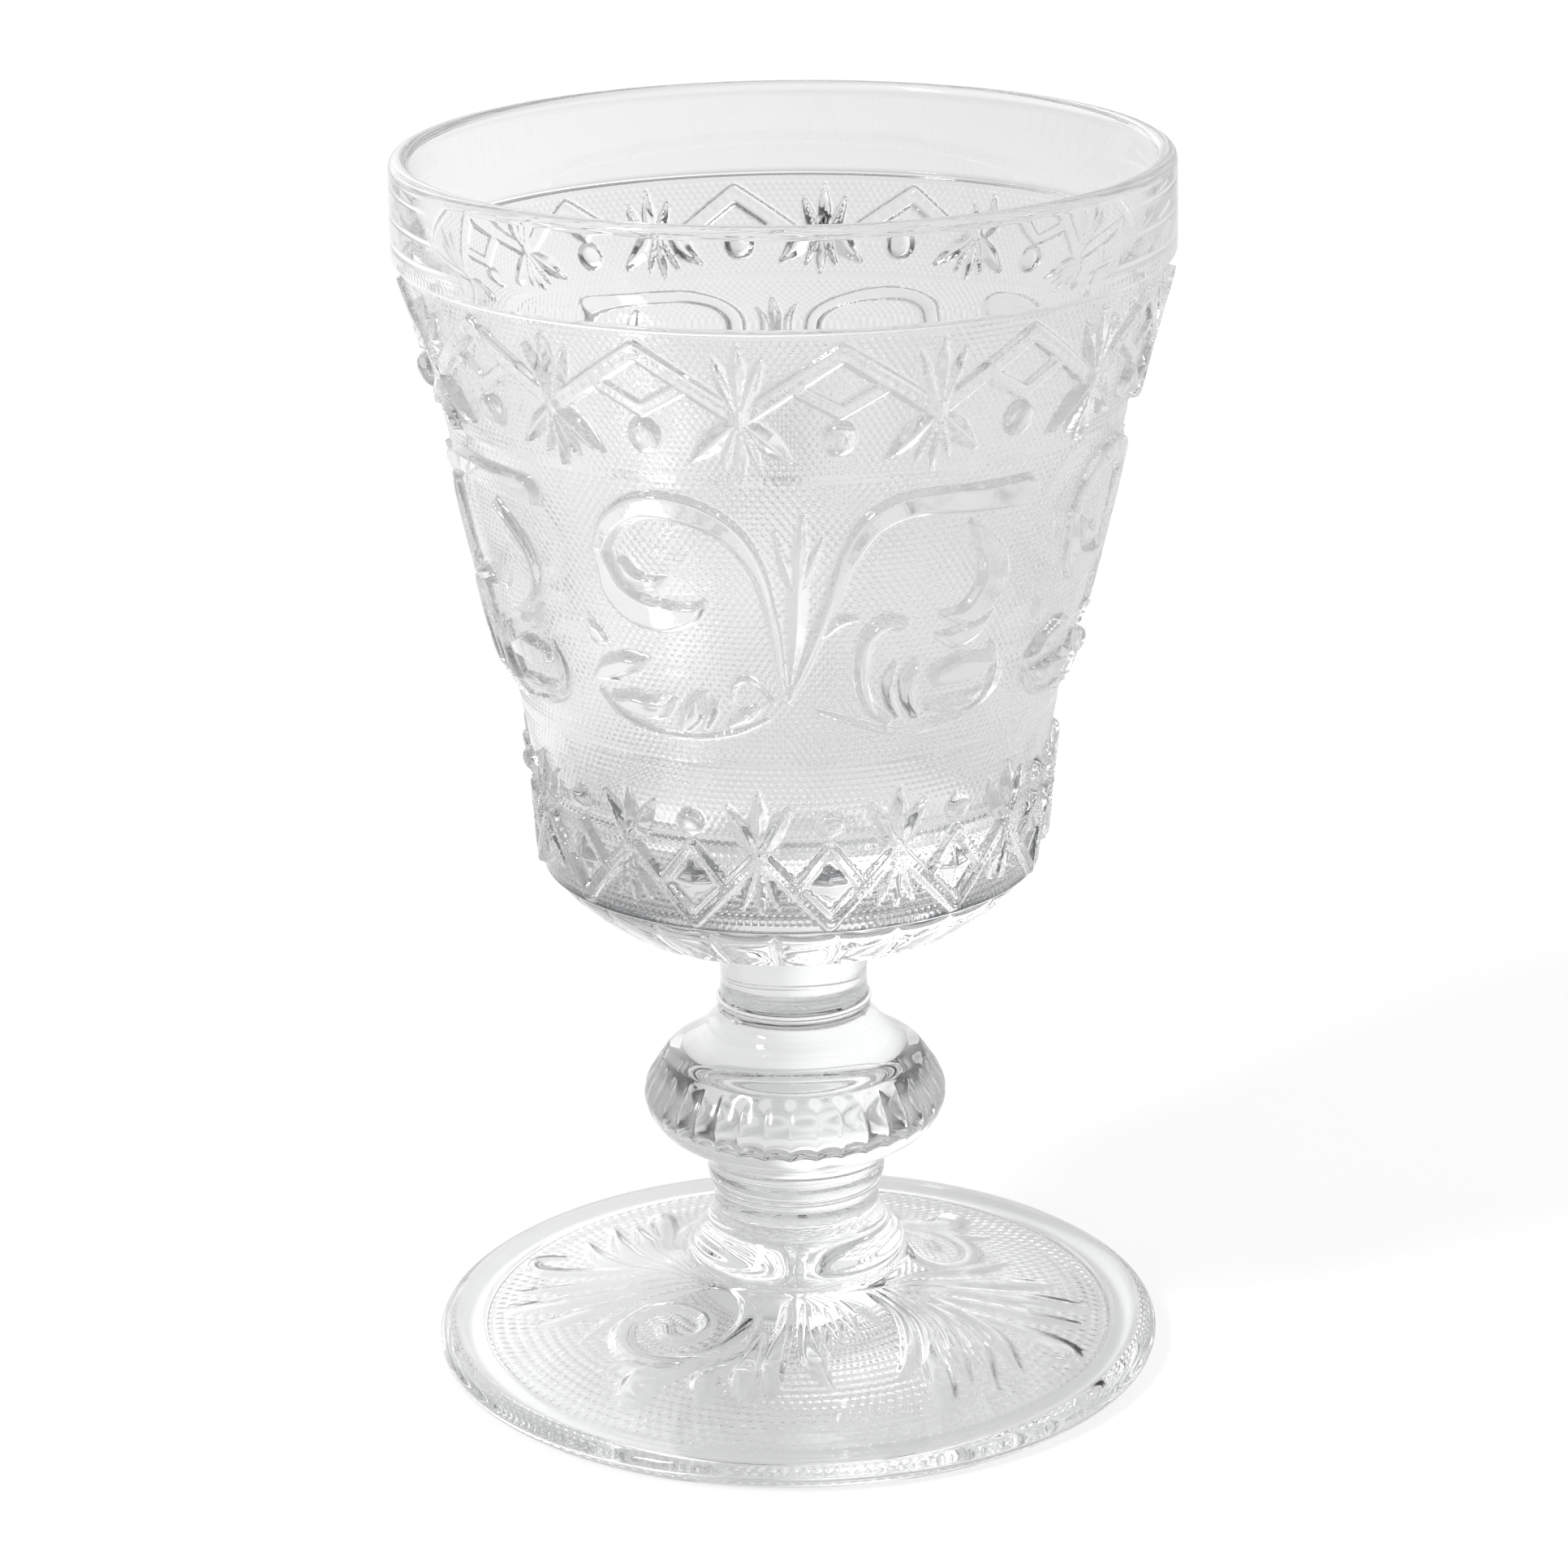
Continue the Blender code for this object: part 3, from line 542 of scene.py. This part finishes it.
# Lower frieze: the arches turned over, with lozenges between the fleurons and a pearl over each
lozenges = {
    "repeats": 12, "turn": -6.8, "columns": 864, "rows": 84, "dotColumns": 4, "dotRows": 3,
    "fleuronHeight": 69.8, "pointHeight": 61.8, "topHeight": 70.6, "pearlHeight": 73.5,
    "strap": 0.85, "strapRelief": 0.9, "crown": 0.7, "pearl": 1.5, "pearlRelief": 1.3,
    "facetRelief": 0.95, "facetLift": 0.6, "facetWide": 2.7, "facetTall": 3.0,
    "fan": {"boss": 1.0, "bossHeight": 1.25, "height": 1.2,
            "leaves": [(0.0, 7.4, 1.15), (3.3, 5.8, 1.2), (0.0, -7.0, 1.0), (2.1, -6.4, 0.85)]},
}


def lozengeRelief(across, up):
    u, half = layOut(across, up, lozenges)
    boss = (0.0, lozenges["fleuronHeight"])
    height = fleuron(u, up, boss, lozenges["fan"])
    middle = (lozenges["fleuronHeight"] + lozenges["pointHeight"]) / 2
    for side in (-1, 1):
        edge = side * half
        strap = stroke(u, up, [boss, (edge, lozenges["pointHeight"])],
                       [lozenges["strap"]], [lozenges["strapRelief"]], "strap")
        crown = stroke(u, up, [(edge / 2, middle), (edge, lozenges["topHeight"])],
                       [lozenges["crown"]], [lozenges["strapRelief"]], "strap")
        pearl = dome(u, up, (edge, lozenges["pearlHeight"]), lozenges["pearl"], lozenges["pearlRelief"])
        facet = lozenge(u, up, (edge, middle + lozenges["facetLift"]), lozenges["facetWide"],
                        lozenges["facetTall"], lozenges["facetRelief"])
        height = np.maximum.reduce([height, strap, crown, pearl, facet])
    return height


# Rim: the plain band over the arches, with a round lip and a soft lower edge that stands out a little
rim = {
    "radius": 43.2, "lip": 1.15, "lipRows": 18, "columns": 288,
    "insideHeights": (134.0, 137.5), "insideTop": 41.0, "insideRows": 16,
    "middle": (43.25, 136.0), "edge": 0.9, "edgeRows": 10, "edgeRadius": 43.3,
}


def makeRim():
    low = joint["arches"]
    lipHeight = rimTop - rim["lip"]
    inside = [(insideRadius(z), z) for z in (low,) + rim["insideHeights"]]
    inner = rows(inside + [(rim["insideTop"], lipHeight)], rim["insideRows"])
    lip = roundEdge((rim["radius"] - rim["lip"], lipHeight), rim["lip"], 180, 0, rim["lipRows"])
    edge = rim["edge"]
    corner = roundEdge((rim["edgeRadius"] - edge, low + edge), edge, 0, -90, rim["edgeRows"])
    section = inner + lip[1:] + [rim["middle"]] + corner + [(groundRadius(low), low)]
    piece = turned("bowl_rim", section, rim["columns"], closed=True)
    finishGlass(piece, "bowl", bowlGlass, [joint["arches"]])


# Base of the bowl: thick glass under the wine, with the lozenges round it
base = {
    "edge": 0.3, "edgeRows": 8, "friezeFrom": 0.5,   # mm over the seam
    "floor": [(0.0, 67.0), (8.0, 67.0), (17.0, 67.15), (22.6, 68.4), (25.6, 72.4)], "floorRows": 18,
    "insideFrom": 74.5, "insideRows": 4,
}


def makeBase():
    low = joint["bowl"] + base["friezeFrom"]
    heights = np.linspace(joint["lozenges"], low, lozenges["rows"])
    outer = [(groundRadius(z), z) for z in heights]
    edge = base["edge"]
    corner = roundEdge((groundRadius(low) - edge, joint["bowl"] + edge), edge, 0, -90, base["edgeRows"])
    wall = np.linspace(base["insideFrom"], joint["lozenges"], base["insideRows"])
    inner = rows(base["floor"], base["floorRows"]) + [(insideRadius(z), z) for z in wall]
    section = [(0.0, joint["bowl"])] + corner[::-1] + outer[::-1] + inner[::-1]
    piece = turned("bowl_base", section, lozenges["columns"])
    raiseRelief(piece, heights, lozenges, lozengeRelief)
    finishGlass(piece, "bowl", bowlGlass, [joint["bowl"], joint["lozenges"]])


makeRim()
makeRing("bowl_arches", "scrolls", "arches", arches, archRelief)
makeRing("bowl_volutes", "volutes", "scrolls", scrolls, scrollRelief)
makeRing("bowl_leaves", "lozenges", "volutes", scrolls, scrollRelief)
makeBase()


# Collar: a shallow dish of flat petals under the bowl, set off from it by a fine seam
collar = {
    "petals": 24, "columnsPerPetal": 20, "groove": 0.5, "grooveSharpness": 0.3, "turn": 3.0,
    "grooveFrom": 18.5, "grooveFade": 2.5, "seamFade": 1.2,
    "seamRadius": 26.0, "neckRadius": 9.6, "wallRows": 26, "undersideRows": 8,
    "wall": [(27.2, 61.2), (27.1, 59.5), (26.0, 58.0), (24.0, 56.3), (22.2, 55.0), (21.1, 54.2)],
    "underside": [(20.4, 53.9), (15.0, 54.0), (11.2, 53.8)],
}


def makeCollar():
    seam = joint["bowl"]
    wall = between(rows(collar["wall"], collar["wallRows"]), joint["neck"], seam)
    under = rows(collar["underside"], collar["undersideRows"]) + [(collar["neckRadius"], joint["neck"])]
    section = [(0.0, seam), (collar["seamRadius"], seam)] + wall + under + [(0.0, joint["neck"])]
    piece = turned("collar_petals", section, collar["petals"] * collar["columnsPerPetal"])
    points = readPoints(piece.data)
    angle, radius, height = polar(points)
    swing = np.abs(np.cos(np.radians((angle - collar["turn"]) * collar["petals"] / 2)))
    onPetal = np.clip((radius - collar["grooveFrom"]) / collar["grooveFade"], 0, 1)
    onPetal = onPetal * np.clip((seam - height) / collar["seamFade"], 0, 1)
    setRadius(points, radius - collar["groove"] * (1 - swing ** collar["grooveSharpness"]) * onPetal)
    writePoints(piece.data, points)
    finishGlass(piece, "collar", bowlGlass, [seam, joint["neck"]])
    piece.data.materials.append(seamShadowGlass)
    # the joint faces outside the seam radius take the grey tint, a painted shadow line under the bowl
    for face in piece.data.polygons:
        if face.material_index == 1 and face.center.xy.length > collar["seamRadius"] * mm:
            face.material_index = 2


makeCollar()


# Neck: a plain waisted spool with a fine bead near its foot
neck = {
    "spool": [(9.6, 53.15), (9.2, 52.2), (8.7, 49.5), (8.5, 46.5), (8.5, 44.9), (8.56, 44.1), (8.72, 43.35)],
    "bead": 0.26, "beadHeight": 42.95, "beadRadius": 8.74,
    "flare": [(8.76, 42.55), (8.95, 41.7), (9.35, 40.9), (9.9, 40.25)],
    "columns": 160, "spoolRows": 40, "beadRows": 10, "flareRows": 10,
}


def makeNeck():
    spool = between(rows(neck["spool"], neck["spoolRows"]), joint["knop"], joint["neck"])
    bead = roundEdge((neck["beadRadius"], neck["beadHeight"]), neck["bead"], 80, -80, neck["beadRows"])
    flare = between(rows(neck["flare"], neck["flareRows"]), joint["knop"], joint["neck"])
    section = [(0.0, joint["neck"])] + spool + bead + flare + [(0.0, joint["knop"])]
    piece = turned("neck_spool", section, neck["columns"])
    finishGlass(piece, "neck", stemGlass, [joint["neck"], joint["knop"]])


makeNeck()


# Knop: a smooth shoulder down to a soft ridge, rounded ribs that fade out below the widest part, and a belly
knop = {
    "section": [(9.9, 40.25), (10.4, 39.6), (11.6, 38.5), (13.2, 37.35), (14.6, 36.5), (15.3, 35.8),
                (16.1, 34.5), (17.1, 32.9), (17.5, 31.2), (17.1, 29.4), (15.7, 27.5), (13.3, 25.9),
                (11.2, 24.4), (10.4, 23.3), (10.3, 22.55)],
    "sectionRows": 96,
    "ribs": 36, "columnsPerRib": 14, "turn": 3.0,
    "ribRise": 0.45, "ribSink": 0.35, "ribRoundness": 0.5, "ribDullness": 1.0,
    "ribMiddle": 33.4, "ribAbove": 2.3, "ribBelow": 5.2,
}


def makeKnop():
    outline = between(rows(knop["section"], knop["sectionRows"]), joint["shank"], joint["knop"])
    section = [(0.0, joint["knop"])] + outline + [(0.0, joint["shank"])]
    piece = turned("knop_ribbed", section, knop["ribs"] * knop["columnsPerRib"])
    points = readPoints(piece.data)
    angle, radius, height = polar(points)
    swing = np.abs(np.cos(np.radians((angle - knop["turn"]) * knop["ribs"] / 2)))
    above = np.clip((height - knop["ribMiddle"]) / knop["ribAbove"], 0, 1)
    below = np.clip((knop["ribMiddle"] - height) / knop["ribBelow"], 0, 1)
    bulge = np.sqrt(1 - above ** 2) * (1 - below ** 2) ** 2
    setRadius(points, radius + (knop["ribRise"] * swing ** knop["ribRoundness"] - knop["ribSink"]) * bulge)
    writePoints(piece.data, points)
    markDullness(piece.data, knop["ribDullness"] * bulge)
    finishGlass(piece, "knop", stemGlass, [joint["knop"], joint["shank"]])


makeKnop()


# Lower stem: two fine rings, a short shank and the bell
lowerStem = {
    "rings": [(10.3, 22.55), (10.35, 22.0), (10.25, 21.2), (9.85, 20.8), (10.0, 20.3), (9.75, 19.8),
              (9.6, 19.2)],
    "bell": [(9.6, 18.6), (9.75, 17.4), (10.3, 15.8), (11.5, 14.2), (12.5, 12.9), (12.8, 11.9),
             (12.8, 10.75)],
    "columns": 160, "ringRows": 40, "bellRows": 30,
}


def makeLowerStem():
    rings = between(rows(lowerStem["rings"], lowerStem["ringRows"]), joint["foot"], joint["shank"])
    bell = between(rows(lowerStem["bell"], lowerStem["bellRows"]), joint["foot"], joint["shank"])
    section = [(0.0, joint["shank"])] + rings + bell + [(0.0, joint["foot"])]
    piece = turned("lower_stem_bell", section, lowerStem["columns"])
    finishGlass(piece, "lower_stem", stemGlass, [joint["shank"], joint["foot"]])


makeLowerStem()


# Foot: swept top, plain outer band, and leaves and volutes moulded into the hollow underneath
foot = {
    "radius": 42.3, "columns": 640,
    "top": [(12.8, 10.75), (14.2, 9.7), (17.5, 8.0), (22.0, 6.5), (28.0, 5.0), (34.0, 4.0), (38.0, 3.55),
            (41.2, 3.2)],
    "topRows": 26, "edgeRound": 1.25, "edgeTop": 3.05, "edgeLift": 0.4, "edgeRows": 8,
    "restRing": [(40.9, 0.0), (37.0, 0.0), (36.5, 0.3)],
    "hollow": [(36.3, 0.7), (27.0, 1.9), (17.8, 2.55), (10.0, 2.85), (5.0, 2.9)],
    "hollowRows": 110, "hollowNear": 0.02, "relief": 0.9,
    "dotColumns": 4, "dotRows": 4, "dotsFrom": 9.0, "dotHeight": 0.15,
    # leaves seen in plan: (right, towards the front) in mm, half widths in mm and shares of the relief along
    # each; where a share falls to nothing the leaf ends in a wide bevel
    "leaves": [
        # volute on the left
        ([(-5.5, 0.5), (-4.9, 5.0), (-5.6, 10.0), (-8.0, 14.5), (-12.5, 17.0), (-17.5, 16.0), (-20.0, 12.0),
          (-19.5, 7.5), (-16.5, 4.8), (-12.8, 4.8), (-10.2, 7.0), (-10.0, 10.2), (-12.0, 12.3), (-14.6, 11.6),
          (-15.0, 9.2)], [0.8, 1.5, 2.0, 2.1, 1.9, 1.7, 1.5, 1.4, 1.2, 1.2, 1.4], [0.4, 0.9, 1.0, 0.9, 0.8]),
        # lily in front of the stem, and its teeth on the right
        ([(-0.9, 4.0), (-1.5, 11.0), (-2.9, 18.6), (-3.0, 24.8)], [0.7, 1.2, 1.9, 1.4], [0.4, 0.9, 1.0, 0.0]),
        ([(0.7, 4.0), (0.9, 11.0), (1.7, 18.0), (3.7, 23.8)], [0.7, 1.2, 1.9, 0.5], [0.4, 0.9, 1.0, 0.5]),
        ([(1.6, 5.0), (2.4, 11.0), (3.3, 17.2)], [0.5, 1.1, 0.4], [0.4, 1.0, 0.9]),
        ([(2.4, 4.5), (3.9, 9.5), (5.0, 14.6)], [0.5, 1.1, 0.4], [0.4, 1.0, 0.9]),
        ([(3.2, 4.0), (5.2, 8.0), (6.6, 12.2)], [0.5, 1.1, 0.4], [0.4, 1.0, 0.9]),
        ([(4.2, 3.2), (6.8, 6.4), (9.0, 9.8)], [0.5, 1.1, 0.4], [0.4, 1.0, 0.9]),
        # leaf round the outside of the volute
        ([(-4.0, 12.0), (-5.0, 16.6), (-6.0, 20.4), (-5.8, 25.0)],
         [0.9, 1.6, 2.2, 2.0], [0.5, 1.0, 1.0, 0.0]),
        ([(-5.0, 15.5), (-8.0, 18.6), (-10.4, 21.0), (-10.6, 25.6)],
         [0.9, 1.7, 2.2, 1.8], [0.5, 1.0, 1.0, 0.0]),
        ([(-9.0, 17.5), (-14.0, 18.6), (-17.4, 20.0), (-19.0, 25.4)],
         [1.0, 2.0, 2.8, 2.2], [0.5, 1.0, 1.0, 0.0]),
        ([(-11.0, 18.0), (-16.5, 18.4), (-20.0, 16.6), (-22.4, 17.6)],
         [0.8, 1.6, 1.4, 0.6], [0.5, 1.0, 1.0, 0.6]),
        # fan on the right
        ([(6.6, 1.5), (11.2, 8.0), (12.7, 15.0), (11.6, 21.0)], [0.6, 1.2, 1.6, 1.0], [0.3, 0.8, 1.0, 0.2]),
        ([(7.4, 1.2), (13.2, 9.0), (15.2, 17.0), (16.2, 23.0), (16.4, 27.4)], [0.6, 1.2, 1.8, 2.0, 1.4],
         [0.3, 0.8, 1.0, 1.0, 0.0]),
        ([(8.2, 1.0), (15.0, 8.0), (17.8, 15.0), (19.6, 22.6)], [0.6, 1.1, 1.6, 0.5], [0.3, 0.8, 1.0, 0.6]),
        ([(9.0, 0.8), (16.6, 7.2), (20.6, 14.0), (22.4, 23.4)], [0.6, 1.1, 1.7, 0.5], [0.3, 0.8, 1.0, 0.6]),
        ([(9.6, 0.5), (18.4, 6.0), (23.0, 11.6), (25.4, 18.8)], [0.6, 1.1, 1.6, 0.5], [0.3, 0.8, 1.0, 0.6]),
        # fan on the left, and the curl behind it
        ([(-8.6, 0.4), (-15.0, 2.6), (-21.0, 6.0), (-24.6, 9.6)], [0.6, 1.1, 1.5, 0.7], [0.3, 0.8, 1.0, 0.4]),
        ([(-9.0, -0.5), (-17.0, 0.8), (-24.0, 3.0), (-29.8, 4.6)],
         [0.6, 1.2, 2.0, 1.6], [0.3, 0.8, 1.0, 0.0]),
        ([(-9.0, -1.2), (-19.0, -1.0), (-27.0, -0.6), (-34.0, -0.8)],
         [0.6, 1.4, 2.2, 1.8], [0.3, 0.8, 1.0, 0.0]),
        ([(-9.0, -2.2), (-20.0, -3.6), (-27.4, -4.8), (-32.6, -5.4)],
         [0.6, 1.2, 1.6, 0.8], [0.3, 0.8, 1.0, 0.4]),
        ([(-9.0, -3.0), (-20.0, -6.4), (-27.0, -9.0), (-31.4, -12.0), (-31.2, -15.2), (-28.4, -14.6)],
         [0.6, 1.1, 1.5, 1.3, 1.1, 0.9], [0.3, 0.8, 1.0, 1.0, 0.8]),
    ],
}


def footRelief(x, y):
    return foot["relief"] * np.maximum.reduce([stroke(x, y, path, widths, shares, "frond")
                                               for path, widths, shares in foot["leaves"]])


def makeFoot():
    top = rows(foot["top"], foot["topRows"])
    centre = (foot["radius"] - foot["edgeRound"], foot["edgeTop"] - foot["edgeRound"])
    upper = roundEdge(centre, foot["edgeRound"], 75, 0, foot["edgeRows"])
    lowCentre = (centre[0], foot["edgeLift"] + foot["edgeRound"])
    lower = roundEdge(lowCentre, foot["edgeRound"], 0, -75, foot["edgeRows"])
    hollow = rows(foot["hollow"], foot["hollowRows"])
    crown = [(0.0, hollow[-1][1])]
    section = [(0.0, joint["foot"])] + top + upper + lower + foot["restRing"] + hollow + crown
    piece = turned("foot_leaves", section, foot["columns"])
    points = readPoints(piece.data)
    angle, radius, height = polar(points)
    hollowRadii, hollowHeights = np.array(hollow)[::-1].T
    under = np.abs(height - np.interp(radius, hollowRadii, hollowHeights)) < foot["hollowNear"]
    under &= (radius < hollowRadii[-1] + foot["hollowNear"]) & (radius > hollowRadii[0] - foot["hollowNear"])
    x, y = points[under, 0], -points[under, 1]
    relief = np.maximum.reduce([footRelief(side * x, side * y) for side in (-1, 1)])
    column = np.rint(angle[under] / 360 * foot["columns"])
    row = np.rint(np.interp(radius[under], hollowRadii, np.arange(len(hollow))))
    dot = dotShare(column, row, foot["dotColumns"], foot["dotRows"])
    bare = np.clip(1 - relief / stipple["clear"], 0, 1) * (radius[under] > foot["dotsFrom"])
    points[under, 2] += relief + foot["dotHeight"] * dot * bare
    writePoints(piece.data, points)
    dullness = np.zeros(len(points))
    dullness[under] = bare
    markDullness(piece.data, dullness)
    finishGlass(piece, "foot", footGlass, [joint["foot"]])


makeFoot()


# Studio: pale floor, a white sweep behind, and a dimmer room round the camera and overhead
studio = {
    "room": 1.1, "sweep": 0.7, "front": 0.03, "over": 0.55, "left": 1.12, "right": 0.82,
    "frontFrom": (0.0, -0.93, 0.36), "frontSpread": (-0.3, 0.6), "sideSpread": (-0.8, 0.8),
    "overSpread": (0.6, 0.95), "glow": 1.25, "glowFrom": (-0.40, 0.83, 0.38), "glowSpread": (0.84, 0.99),
    "floorRadius": 4.0, "floorDrop": 0.1,   # m, and mm below the foot
    "floorColour": "#F6F6F6", "floorShare": 0.85, "floorShown": 0.96,
    # the floor seen through the glass is darker under the foot, a painted shadow: its level there, and where
    # it fades out
    "floorSeen": 0.75, "floorPaintedShade": 0.71, "paintedShadeSpread": (0.7, 1.3),   # shares of the foot's radius
    "floorPolish": 0.2, "polishRoughness": 0.02,
    "lamps": {
        "key softbox": {"from": (-0.60, -0.44, 0.67), "distance": 3.0, "size": (0.4, 0.6), "power": 87.0},
    },
}


def lightRoom():
    world = bpy.data.worlds.new("white studio")
    scene.world = world
    tree = emptyTree(world)
    path = addNode(tree, "ShaderNodeLightPath").outputs
    direction = addNode(tree, "ShaderNodeTexCoord").outputs["Generated"]
    axes = addNode(tree, "ShaderNodeSeparateXYZ", {0: direction}).outputs
    facing = addNode(tree, "ShaderNodeVectorMath", {0: direction, 1: studio["frontFrom"]},
                     operation="DOT_PRODUCT")
    level = addNode(tree, "ShaderNodeMapRange",
                    {"Value": facing.outputs["Value"],
                     "From Min": studio["frontSpread"][0], "From Max": studio["frontSpread"][1],
                     "To Min": studio["sweep"], "To Max": studio["front"]}, interpolation_type="SMOOTHSTEP")
    side = addNode(tree, "ShaderNodeMapRange",
                   {"Value": axes["X"],
                    "From Min": studio["sideSpread"][0], "From Max": studio["sideSpread"][1],
                    "To Min": studio["left"], "To Max": studio["right"]})
    towards = addNode(tree, "ShaderNodeVectorMath",
                      {0: direction, 1: Vector(studio["glowFrom"]).normalized()}, operation="DOT_PRODUCT")
    glow = addNode(tree, "ShaderNodeMapRange",
                   {"Value": towards.outputs["Value"],
                    "From Min": studio["glowSpread"][0], "From Max": studio["glowSpread"][1],
                    "To Min": 0.0, "To Max": studio["glow"]}, interpolation_type="SMOOTHSTEP")
    walls = addNode(tree, "ShaderNodeMath",
                    {0: level.outputs["Result"], 1: side.outputs["Result"], 2: glow.outputs["Result"]},
                    operation="MULTIPLY_ADD")
    over = addNode(tree, "ShaderNodeMapRange",
                   {"Value": axes["Z"],
                    "From Min": studio["overSpread"][0], "From Max": studio["overSpread"][1]},
                   interpolation_type="SMOOTHSTEP")
    around = addNode(tree, "ShaderNodeMix",
                     {"Factor": over.outputs["Result"], 2: walls.outputs[0], 3: studio["over"]},
                     data_type="FLOAT")
    lit = addNode(tree, "ShaderNodeMix",
                  {"Factor": path["Is Diffuse Ray"], 2: around.outputs[0], 3: studio["room"]},
                  data_type="FLOAT")
    white = addNode(tree, "ShaderNodeMath", {0: lit.outputs[0], 1: path["Is Camera Ray"]},
                    operation="MAXIMUM")
    light = addNode(tree, "ShaderNodeBackground", {"Color": (1, 1, 1, 1), "Strength": white.outputs[0]})
    addNode(tree, "ShaderNodeOutputWorld", {"Surface": light.outputs[0]})


def layFloor():
    shape = bmesh.new()
    bmesh.ops.create_circle(shape, cap_ends=True, segments=96, radius=studio["floorRadius"])
    bmesh.ops.translate(shape, vec=(0.0, 0.0, -studio["floorDrop"] * mm), verts=shape.verts[:])
    mesh = bpy.data.meshes.new("floor")
    shape.to_mesh(mesh)
    shape.free()
    floor = bpy.data.objects.new("floor", mesh)
    scene.collection.objects.link(floor)
    material = bpy.data.materials.new("white acrylic sheet")
    tree = emptyTree(material)
    path = addNode(tree, "ShaderNodeLightPath").outputs
    through = addNode(tree, "ShaderNodeMath", {0: path["Is Glossy Ray"], 1: path["Is Transmission Ray"]},
                      operation="MAXIMUM")
    place = addNode(tree, "ShaderNodeTexCoord").outputs["Object"]
    away = addNode(tree, "ShaderNodeVectorMath", {0: place}, operation="LENGTH").outputs["Value"]
    # painted shadow under the foot: seen through the glass, the floor's glow is lower near the axis and rises
    # to its plain level further out
    near, far = (share * foot["radius"] * mm for share in studio["paintedShadeSpread"])
    shaded = addNode(tree, "ShaderNodeMapRange",
                     {"Value": away, "From Min": near, "From Max": far,
                      "To Min": studio["floorPaintedShade"], "To Max": studio["floorSeen"]},
                     interpolation_type="SMOOTHSTEP")
    level = addNode(tree, "ShaderNodeMix", {"Factor": through.outputs[0], 2: studio["floorShown"],
                                            3: shaded.outputs["Result"]}, data_type="FLOAT")
    seen = addNode(tree, "ShaderNodeMath", {0: through.outputs[0], 1: path["Is Camera Ray"]},
                   operation="MAXIMUM")
    share = addNode(tree, "ShaderNodeMath", {0: seen.outputs[0], 1: studio["floorShare"]},
                    operation="MULTIPLY")
    paper = addNode(tree, "ShaderNodeBsdfDiffuse", {"Color": linear(studio["floorColour"])})
    glow = addNode(tree, "ShaderNodeEmission", {"Color": (1, 1, 1, 1), "Strength": level.outputs[0]})
    both = addNode(tree, "ShaderNodeMixShader",
                   {0: share.outputs[0], 1: paper.outputs[0], 2: glow.outputs[0]})
    mirror = addNode(tree, "ShaderNodeBsdfGlossy",
                     {"Color": (1, 1, 1, 1), "Roughness": studio["polishRoughness"]})
    polish = addNode(tree, "ShaderNodeMath", {0: path["Is Glossy Ray"], 1: studio["floorPolish"]},
                     operation="MULTIPLY")
    top = addNode(tree, "ShaderNodeMixShader",
                  {0: polish.outputs[0], 1: both.outputs[0], 2: mirror.outputs[0]})
    addNode(tree, "ShaderNodeOutputMaterial", {"Surface": top.outputs[0]})
    mesh.materials.append(material)


def hangLamp(name, lamp):
    data = bpy.data.lights.new(name, "AREA")
    data.shape = "RECTANGLE"
    data.size, data.size_y = lamp["size"]
    data.energy = lamp["power"]
    hung = bpy.data.objects.new(name, data)
    scene.collection.objects.link(hung)
    aim = Vector(lamp["from"]).normalized()
    hung.location = aim * lamp["distance"] + Vector((0.0, 0.0, rimTop * mm / 2))
    hung.rotation_euler = (-aim).to_track_quat("-Z", "Y").to_euler()


lightRoom()
layFloor()
for name, lamp in studio["lamps"].items():
    hangLamp(name, lamp)
print("studio lit")

scene.view_settings.view_transform = "Standard"
scene.cycles.max_bounces = 32
scene.cycles.transmission_bounces = 32
scene.cycles.glossy_bounces = 16
scene.cycles.transparent_max_bounces = 32
